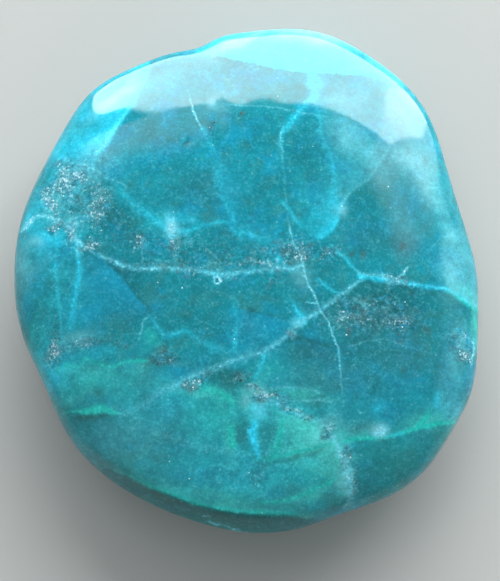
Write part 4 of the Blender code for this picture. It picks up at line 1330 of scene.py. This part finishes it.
class StoneColour(Nodes):
    """The colour of the stone, laid on in layers over the patterns that they share."""

    def __init__(self, tree):
        super().__init__(tree)
        self.place = self.add("TexCoord").outputs["Object"]
        self.pattern = {name: self.noise(*look) for name, look in PATTERNS.items()}
        # The pattern of the crust's painted shade.
        self.pattern["hollows"] = self.parts(self.noise(*SHADED_HOLLOW_PATTERN, "Color"))["Y"]
        self.uneven = self.plus(self.pattern["cloudy"], UNEVEN_LEAST)
        self.crust = self.attribute("crust clouds")
        self.clear = self.attribute("clear clouds")
        self.mottled = self.ramp(self.crust, *MOTTLED_CRUST)
        self.near_pale_seam = 0.0
        deep = self.ramp(self.pattern["drift"], *DEEP_PARTS)
        self.colour = self.mix(deep, COLOURS["body"], COLOURS["deep"])

    def noise(self, size, detail, roughness, output="Fac"):
        inputs = {
            "Vector": self.place,
            "Scale": 1.0 / (size * MM),
            "Detail": detail,
            "Roughness": roughness,
        }
        return self.add("TexNoise", inputs).outputs[output]

    def about_middle(self, pattern, strength):
        """A pattern that goes as far below 0 as above it."""
        return self.times(self.minus(self.pattern[pattern], PATTERN_MIDDLE), strength)

    def blended(self, strengths):
        """Several patterns together, each by its strength."""
        total = 0.0
        for pattern, strength in strengths.items():
            total = self.plus(total, self.about_middle(pattern, strength))
        return total

    def lay(self, amount, colour):
        """Lay a colour over what is there."""
        self.colour = self.mix(amount, self.colour, COLOURS[colour])

    def lay_spots(self, pattern, spots, share):
        """Spots of colour, within a share of the stone."""
        places = self.parts(self.noise(*pattern, "Color"))
        for axis, start, whole, strength, colour in spots:
            spot = self.times(self.ramp(places[axis], start, whole), strength)
            self.lay(self.times(spot, share), colour)

    def lay_marks(self, layers):
        """The clouds, veils and seams."""
        seam = seam_group()
        veil = veil_group()
        for mark, colour in MARK_COLOURS.items():
            if mark in SEAM_LOOKS:
                sway, grain, halo = SEAM_LOOKS[mark]
                looks = {
                    "Sway": self.about_middle("sway", sway),
                    "Grain": self.blended({"fine": grain, "breaks": SEAM_BREAKS}),
                    "Halo": halo,
                }
                seams = [self.draw_line(seam, name, looks) for name in layers[mark]]
                amount = self.together([made["Amount"] for made in seams])
                if mark == "pale seams":
                    for made in seams:
                        self.near_pale_seam = self.calculate("MAXIMUM", self.near_pale_seam, made["Around"])
            elif mark in VEIL_SOFTNESS:
                looks = {"Sway": self.about_middle("sway", VEIL_SWAY), "Softness": VEIL_SOFTNESS[mark]}
                veils = [self.draw_line(veil, name, looks)["Amount"] for name in layers[mark]]
                amount = self.together([self.times(made, self.uneven) for made in veils])
            else:
                amount = self.times(self.attribute(mark), self.uneven)
            self.lay(amount, colour)

    def draw_line(self, group, name, looks):
        """A seam or a veil, from the layer of that name."""
        node = self.add("Group", node_tree=group)
        for socket, value in {"Place": self.attribute(name, "Vector"), **looks}.items():
            self.set(node.inputs[socket], value)
        return node.outputs

    def lay_sugar(self):
        """The sugary look: lighter, darker and milky grains, from clouds down to dust."""
        contrast = self.plus(self.times(self.mottled, CRUST_CONTRAST), PLAIN_CONTRAST)
        contrast = self.plus(contrast, self.times(self.clear, CLEAR_CONTRAST))
        light = self.plus(self.times(self.blended(SUGAR_SHADES), contrast), 1.0)
        grey = self.add("CombineXYZ", {0: light, 1: light, 2: light}).outputs[0]
        self.colour = self.mix(1.0, self.colour, grey, "MULTIPLY")
        self.lay(self.minus(self.times(self.blended(SUGAR_MILK), contrast), MILK_START), "milk")

    def lay_cracks(self):
        """A faint, broken net of pale lines."""
        bend = self.add("VectorMath", {0: self.noise(*BEND_PATTERN, "Color")}, operation="SCALE")
        bend.inputs["Scale"].default_value = CRACK_BEND * MM
        bent = self.add("VectorMath", {0: self.place, 1: bend.outputs[0]}, operation="ADD").outputs[0]
        scale = 1.0 / (CRACK_SPACING * MM)
        net = self.add("TexVoronoi", {"Vector": bent, "Scale": scale}, feature="DISTANCE_TO_EDGE")
        line = self.ramp(net.outputs["Distance"], CRACK_WIDTH, 0.0)
        drift = self.ramp(self.pattern["drift"], *CRACK_DRIFT)
        fine = self.ramp(self.pattern["fine"], *CRACK_FINE)
        self.lay(self.times(self.times(line, self.times(drift, fine)), CRACK_STRENGTH), "cyan")

    def lay_dots(self):
        """Soft pale dots, closer together in some places."""
        scale = 1.0 / (DOT_SPACING * MM)
        dots = self.add("TexVoronoi", {"Vector": self.place, "Scale": scale}).outputs
        chance = self.plus(self.parts(dots["Color"])["X"], self.about_middle("cloudy", DOT_CROWDING))
        dot = self.times(self.ramp(dots["Distance"], *DOT_EDGE), self.ramp(chance, *DOT_CHANCE))
        strength = self.plus(self.times(self.clear, CLEAR_DOT_STRENGTH), DOT_STRENGTH)
        self.lay(self.times(dot, strength), "milk")

    def lay_grains_glints_and_shade(self, field, grains):
        """Grains of colour where a field is strong. In the crust, some of them are painted shade and
        painted glints.
        """
        for pattern, more, start, whole, field_start, field_whole, strength, colour in grains:
            likely = self.plus(self.pattern[pattern], self.times(field, more))
            grain = self.times(self.ramp(likely, start, whole), self.ramp(field, field_start, field_whole))
            self.lay(self.times(grain, strength), colour)


def new_material(name, colour, roughness):
    """A material of one colour and finish, and its surface."""
    material = bpy.data.materials.new(name)
    material.use_nodes = True
    surface = material.node_tree.nodes["Principled BSDF"]
    surface.inputs["Base Color"].default_value = COLOURS[colour]
    surface.inputs["Roughness"].default_value = roughness
    return material, surface


def stone_material(layers):
    """Polished chrysocolla, with light that spreads inside it. Its crust takes less of a polish."""
    material, surface = new_material("polished chrysocolla", "body", POLISH_ROUGHNESS)
    look = StoneColour(material.node_tree)
    look.lay_spots(HUE_PATTERN, HUE_SPOTS, 1.0)
    look.lay_marks(layers)
    look.lay_spots(MOTTLE_PATTERN, CRUST_SPOTS, look.mottled)
    look.lay_sugar()
    look.lay_cracks()
    look.lay_dots()
    look.lay_grains_glints_and_shade(look.near_pale_seam, SEAM_FLECKS)
    # The crust's grey grains, its painted shade and its painted glints.
    look.lay_grains_glints_and_shade(look.crust, CRUST_GRAINS_GLINTS_AND_SHADE)
    look.set(surface.inputs["Base Color"], look.colour)
    rough = look.plus(look.times(look.crust, CRUST_ROUGHNESS), POLISH_ROUGHNESS)
    look.set(surface.inputs["Roughness"], rough)
    surface.inputs["IOR"].default_value = REFRACTIVE_INDEX
    surface.inputs["Subsurface Weight"].default_value = 1.0
    surface.inputs["Subsurface Radius"].default_value = LIGHT_SPREAD
    surface.inputs["Subsurface Scale"].default_value = LIGHT_REACH * MM
    bump = {"Strength": 1.0, "Distance": GRAIN_RELIEF * MM, "Height": look.pattern["sugar"]}
    look.set(surface.inputs["Normal"], look.add("Bump", bump).outputs["Normal"])
    return material


def build_stone():
    """The pebble, with its fine relief and its marks."""
    points, triangles, depth = stone_mesh(RINGS)
    mesh = new_mesh("polished_stone", points, triangles)
    mesh.shade_smooth()
    mesh.vertices.foreach_set("co", (relief(mesh, points) * MM).ravel())
    mesh.update()
    layers = mark_stone(mesh, points, depth)
    mesh.materials.append(stone_material(layers))
    return new_object("polished_stone", mesh)


def plain_grain():
    """Points and faces of a grain one millimetre across."""
    grain = bmesh.new()
    bmesh.ops.create_icosphere(grain, subdivisions=1, radius=0.5)
    points = np.array([vertex.co[:] for vertex in grain.verts])
    faces = [tuple(vertex.index for vertex in face.verts) for face in grain.faces]
    grain.free()
    return points, faces


def build_grains(name, stone, places, flatness, material):
    """Grains set in the stone's top at given places, as one piece."""
    random = np.random.default_rng(GRAIN_SEED)
    surface = read_vectors(stone.data.vertices, "co") / MM
    normals = read_vectors(stone.data.vertex_normals, "vector")
    grain_points, grain_faces = plain_grain()
    points = []
    faces = []
    for x, y, size in places:
        away = (surface[:, 0] - x) ** 2 + (surface[:, 1] - y) ** 2
        nearest = int(np.argmin(np.where(surface[:, 2] < WAIST_HEIGHT, np.inf, away)))
        stretch = random.uniform(*GRAIN_STRETCH, 3) * size
        lumps = random.uniform(*GRAIN_LUMPS, (len(grain_points), 1))
        spin = random.uniform(0.0, 2 * math.pi)
        cos = math.cos(spin)
        sin = math.sin(spin)
        shape = grain_points * lumps * stretch * (1.0, 1.0, flatness)
        shape = shape @ np.array([[cos, sin, 0.0], [-sin, cos, 0.0], [0.0, 0.0, 1.0]])
        upright = Vector(normals[nearest]).to_track_quat("Z", "Y").to_matrix()
        half_height = size * flatness / 2
        centre = surface[nearest] - normals[nearest] * half_height * GRAIN_SINK
        faces += [tuple(corner + len(points) for corner in face) for face in grain_faces]
        points += (shape @ np.array(upright).T + centre).tolist()
    mesh = new_mesh(name, np.array(points), faces)
    mesh.materials.append(material)
    return new_object(name, mesh)


def crystal_material():
    """Crystals from dark through cloudy to white, by each one's own tint."""
    material, surface = new_material("crust crystals", "white", CRYSTAL_ROUGHNESS)
    nodes = Nodes(material.node_tree)
    tint = nodes.attribute("tint")
    colour = COLOURS["black"]
    for start, whole, name in CRYSTAL_TINTS:
        colour = nodes.mix(nodes.ramp(tint, start, whole), colour, COLOURS[name])
    nodes.set(surface.inputs["Base Color"], colour)
    return material


def scatter_group():
    """Strews crystals over a surface, more of them where its crust is thicker."""
    sizes = {name: "number" for name in ("Density", "Start", "Smallest", "Largest")}
    nodes, given, result = new_group(
        "strewn crystals",
        "GeometryNodeTree",
        {"Surface": "mesh", **sizes, "Seed": "whole number", "Material": "material"},
        {"Crystals": "mesh"},
    )

    def random_number(low, high, draw):
        """A number of each crystal's own. Each draw gives other ones."""
        inputs = {2: low, 3: high, 8: nodes.plus(given["Seed"], draw)}
        return nodes.add("FunctionNodeRandomValue", inputs, data_type="FLOAT").outputs[1]

    crust = nodes.add("GeometryNodeInputNamedAttribute", {"Name": "crust"}, data_type="FLOAT").outputs[0]
    above = nodes.calculate("MAXIMUM", nodes.minus(crust, given["Start"]), 0.0)
    strewn = nodes.add(
        "GeometryNodeDistributePointsOnFaces",
        {
            "Mesh": given["Surface"],
            "Density": nodes.times(above, given["Density"]),
            "Seed": given["Seed"],
        },
        distribute_method="RANDOM",
    )
    grain = nodes.add("GeometryNodeMeshIcoSphere", {"Radius": 0.5, "Subdivisions": 1})
    larger = nodes.calculate("POWER", random_number(0.0, 1.0, 1.0), SIZE_POWER)
    range_of_sizes = nodes.minus(given["Largest"], given["Smallest"])
    size = nodes.plus(nodes.times(range_of_sizes, larger), given["Smallest"])
    length = random_number(*CRYSTAL_STRETCH, 2.0)
    width = random_number(*CRYSTAL_STRETCH, 3.0)
    shape = nodes.add("CombineXYZ", {0: length, 1: width, 2: CRYSTAL_FLATNESS}).outputs[0]
    turn = {axis: random_number(0.0, 2 * math.pi, 4.0 + axis) for axis in range(3)}
    placed = nodes.add(
        "GeometryNodeInstanceOnPoints",
        {
            "Points": strewn.outputs["Points"],
            "Instance": grain.outputs["Mesh"],
            "Rotation": nodes.add("CombineXYZ", turn).outputs[0],
            "Scale": nodes.add("VectorMath", {0: shape, "Scale": size}, operation="SCALE").outputs[0],
        },
    )
    tinted = nodes.add(
        "GeometryNodeStoreNamedAttribute",
        {"Geometry": placed.outputs[0], "Name": "tint", "Value": random_number(0.0, 1.0, 8.0)},
        data_type="FLOAT",
        domain="INSTANCE",
    )
    real = nodes.add("GeometryNodeRealizeInstances", {"Geometry": tinted.outputs[0]}).outputs[0]
    finished = nodes.add("GeometryNodeSetMaterial", {"Geometry": real, "Material": given["Material"]})
    nodes.set(result["Crystals"], finished.outputs[0])
    return nodes.tree


def build_crystals(name, material):
    """The crystals of the crust, as one piece."""
    points, triangles, depth = stone_mesh(CARRIER_RINGS)
    mesh = new_mesh("crust carrier", points, triangles)
    crust = mesh.attributes.new("crust", "FLOAT", "POINT")
    crust.data.foreach_set("value", cloud_field(warped_places(points), depth, CRUST_CLOUDS, (0.0, 0.0)))
    carrier = new_object("crust carrier", mesh)
    modifier = carrier.modifiers.new("crystals", "NODES")
    modifier.node_group = scatter_group()
    values = {
        "Density": CRYSTAL_DENSITY / MM**2,
        "Start": CRUST_START,
        "Smallest": SMALLEST_CRYSTAL * MM,
        "Largest": LARGEST_CRYSTAL * MM,
        "Seed": CRYSTAL_SEED,
        "Material": material,
    }
    for socket in modifier.node_group.interface.items_tree:
        if socket.name in values:
            modifier[socket.identifier] = values[socket.name]
    view = bpy.context.evaluated_depsgraph_get()
    made = bpy.data.meshes.new_from_object(carrier.evaluated_get(view))
    made.name = name
    bpy.data.objects.remove(carrier)
    bpy.data.meshes.remove(mesh)
    return new_object(name, made)


def build_floor():
    half = FLOOR_SIZE / 2
    corners = [(-half, -half, 0), (half, -half, 0), (half, half, 0), (-half, half, 0)]
    mesh = bpy.data.meshes.new("floor")
    mesh.from_pydata(corners, [], [(0, 1, 2, 3)])
    material, surface = new_material("pale floor", "floor", FLOOR_ROUGHNESS)
    surface.inputs["Specular IOR Level"].default_value = FLOOR_SHINE
    mesh.materials.append(material)
    floor = new_object("floor", mesh)


def window_shape(nodes, across, up):
    """How bright the window is, with its slanting left end and its tail."""

    def slanted(slant):
        return nodes.times(up, slant)

    def ramp_to(value, start, whole, strength):
        return nodes.times(nodes.ramp(value, start, whole), strength)

    tail = ramp_to(up, *TAIL_TOP, TAIL_LENGTH)
    left = nodes.minus(nodes.plus(across, tail), slanted(LEFT_SLANT))
    right = nodes.plus(across, slanted(RIGHT_SLANT))
    corner = nodes.minus(across, slanted(CORNER_SLANT))
    soft = nodes.ramp(corner, *SOFT_CORNER)
    crisper = nodes.minus(nodes.ramp(corner, *CRISP_CORNER), soft)
    corner = nodes.plus(soft, nodes.times(crisper, nodes.ramp(up, *CORNER_CRISP_FROM)))
    lit = nodes.times(nodes.ramp(left, *LEFT_END), corner)
    lit = nodes.times(lit, nodes.ramp(right, *RIGHT_END))
    lit = nodes.times(lit, nodes.ramp(up, *TOP_END))
    pane = nodes.plus(ramp_to(across, *BRIGHTER_LEFT), PLAIN_PANE)
    pane = nodes.minus(pane, ramp_to(up, *DIMMER_TOP))
    pane = nodes.minus(pane, ramp_to(right, *DIMMER_RIGHT))
    return nodes.times(lit, pane)


def faded_shape(nodes, across, up, fades):
    """How bright a panel is that only fades."""
    lit = 1.0
    for way, start, whole in fades:
        lit = nodes.times(lit, nodes.ramp(across if way == "across" else up, start, whole))
    return lit


def build_panel(name, place, aim, size, brightness, shape):
    """A light panel, as bright at each place as its shape says."""
    light = bpy.data.lights.new(name, "AREA")
    light.shape = "RECTANGLE"
    light.size, light.size_y = size
    light.energy = brightness * size[0] * size[1] * math.pi
    light.color = WINDOW_LIGHT
    light.use_nodes = True
    nodes = Nodes(light.node_tree)
    where = nodes.parts(nodes.add("NewGeometry").outputs["Parametric"])
    from_left = nodes.minus(1.0, where["X"])
    emission = light.node_tree.nodes["Emission"]
    nodes.set(emission.inputs["Strength"], shape(nodes, from_left, where["Y"]))
    panel = new_object(name, light)
    panel.location = place
    panel.rotation_euler = (Vector(aim) - Vector(place)).to_track_quat("-Z", "Y").to_euler()
    panel.visible_camera = False
    return panel


def build_lights():
    build_panel("window", *WINDOW, window_shape)
    for name, place, aim, size, brightness, fades, mirrored in PANELS:
        panel = build_panel(
            name,
            place,
            aim,
            size,
            brightness,
            lambda nodes, across, up: faded_shape(nodes, across, up, fades),
        )
        panel.visible_glossy = mirrored


def build_world():
    world = bpy.data.worlds.new("studio")
    world.use_nodes = True
    background = world.node_tree.nodes["Background"]
    background.inputs["Color"].default_value = COLOURS["sky"]
    background.inputs["Strength"].default_value = SKY_BRIGHTNESS
    bpy.context.scene.world = world


def build_camera():
    data = bpy.data.cameras.new("camera")
    data.sensor_width = SENSOR
    data.lens = SENSOR * CAMERA_DISTANCE / FRAME_HEIGHT
    data.clip_start = NEAREST_SEEN
    data.clip_end = FARTHEST_SEEN
    camera = new_object("camera", data)
    up = math.radians(CAMERA_HEIGHT_ANGLE)
    back = Vector((0.0, -math.cos(up), math.sin(up)))
    camera.location = Vector(AIM) + back * CAMERA_DISTANCE
    camera.rotation_euler = (-back).to_track_quat("-Z", "Y").to_euler()
    bpy.context.scene.camera = camera


def main():
    build_camera()
    stone = build_stone()
    white, _ = new_material("white crystal", "white", WHITE_GRAIN_ROUGHNESS)
    dark, _ = new_material("dark inclusion", "inclusion", DARK_GRAIN_ROUGHNESS)
    pieces = (
        stone,
        build_crystals("crust_crystals", crystal_material()),
        build_grains("white_crystals", stone, WHITE_GRAINS, WHITE_GRAIN_FLATNESS, white),
        build_grains("dark_inclusions", stone, DARK_GRAINS, DARK_GRAIN_FLATNESS, dark),
    )
    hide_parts("stone")
    for piece in pieces:
        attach(piece, "root")
    build_floor()
    build_world()
    build_lights()
    bpy.context.scene.view_settings.view_transform = "Standard"


main()
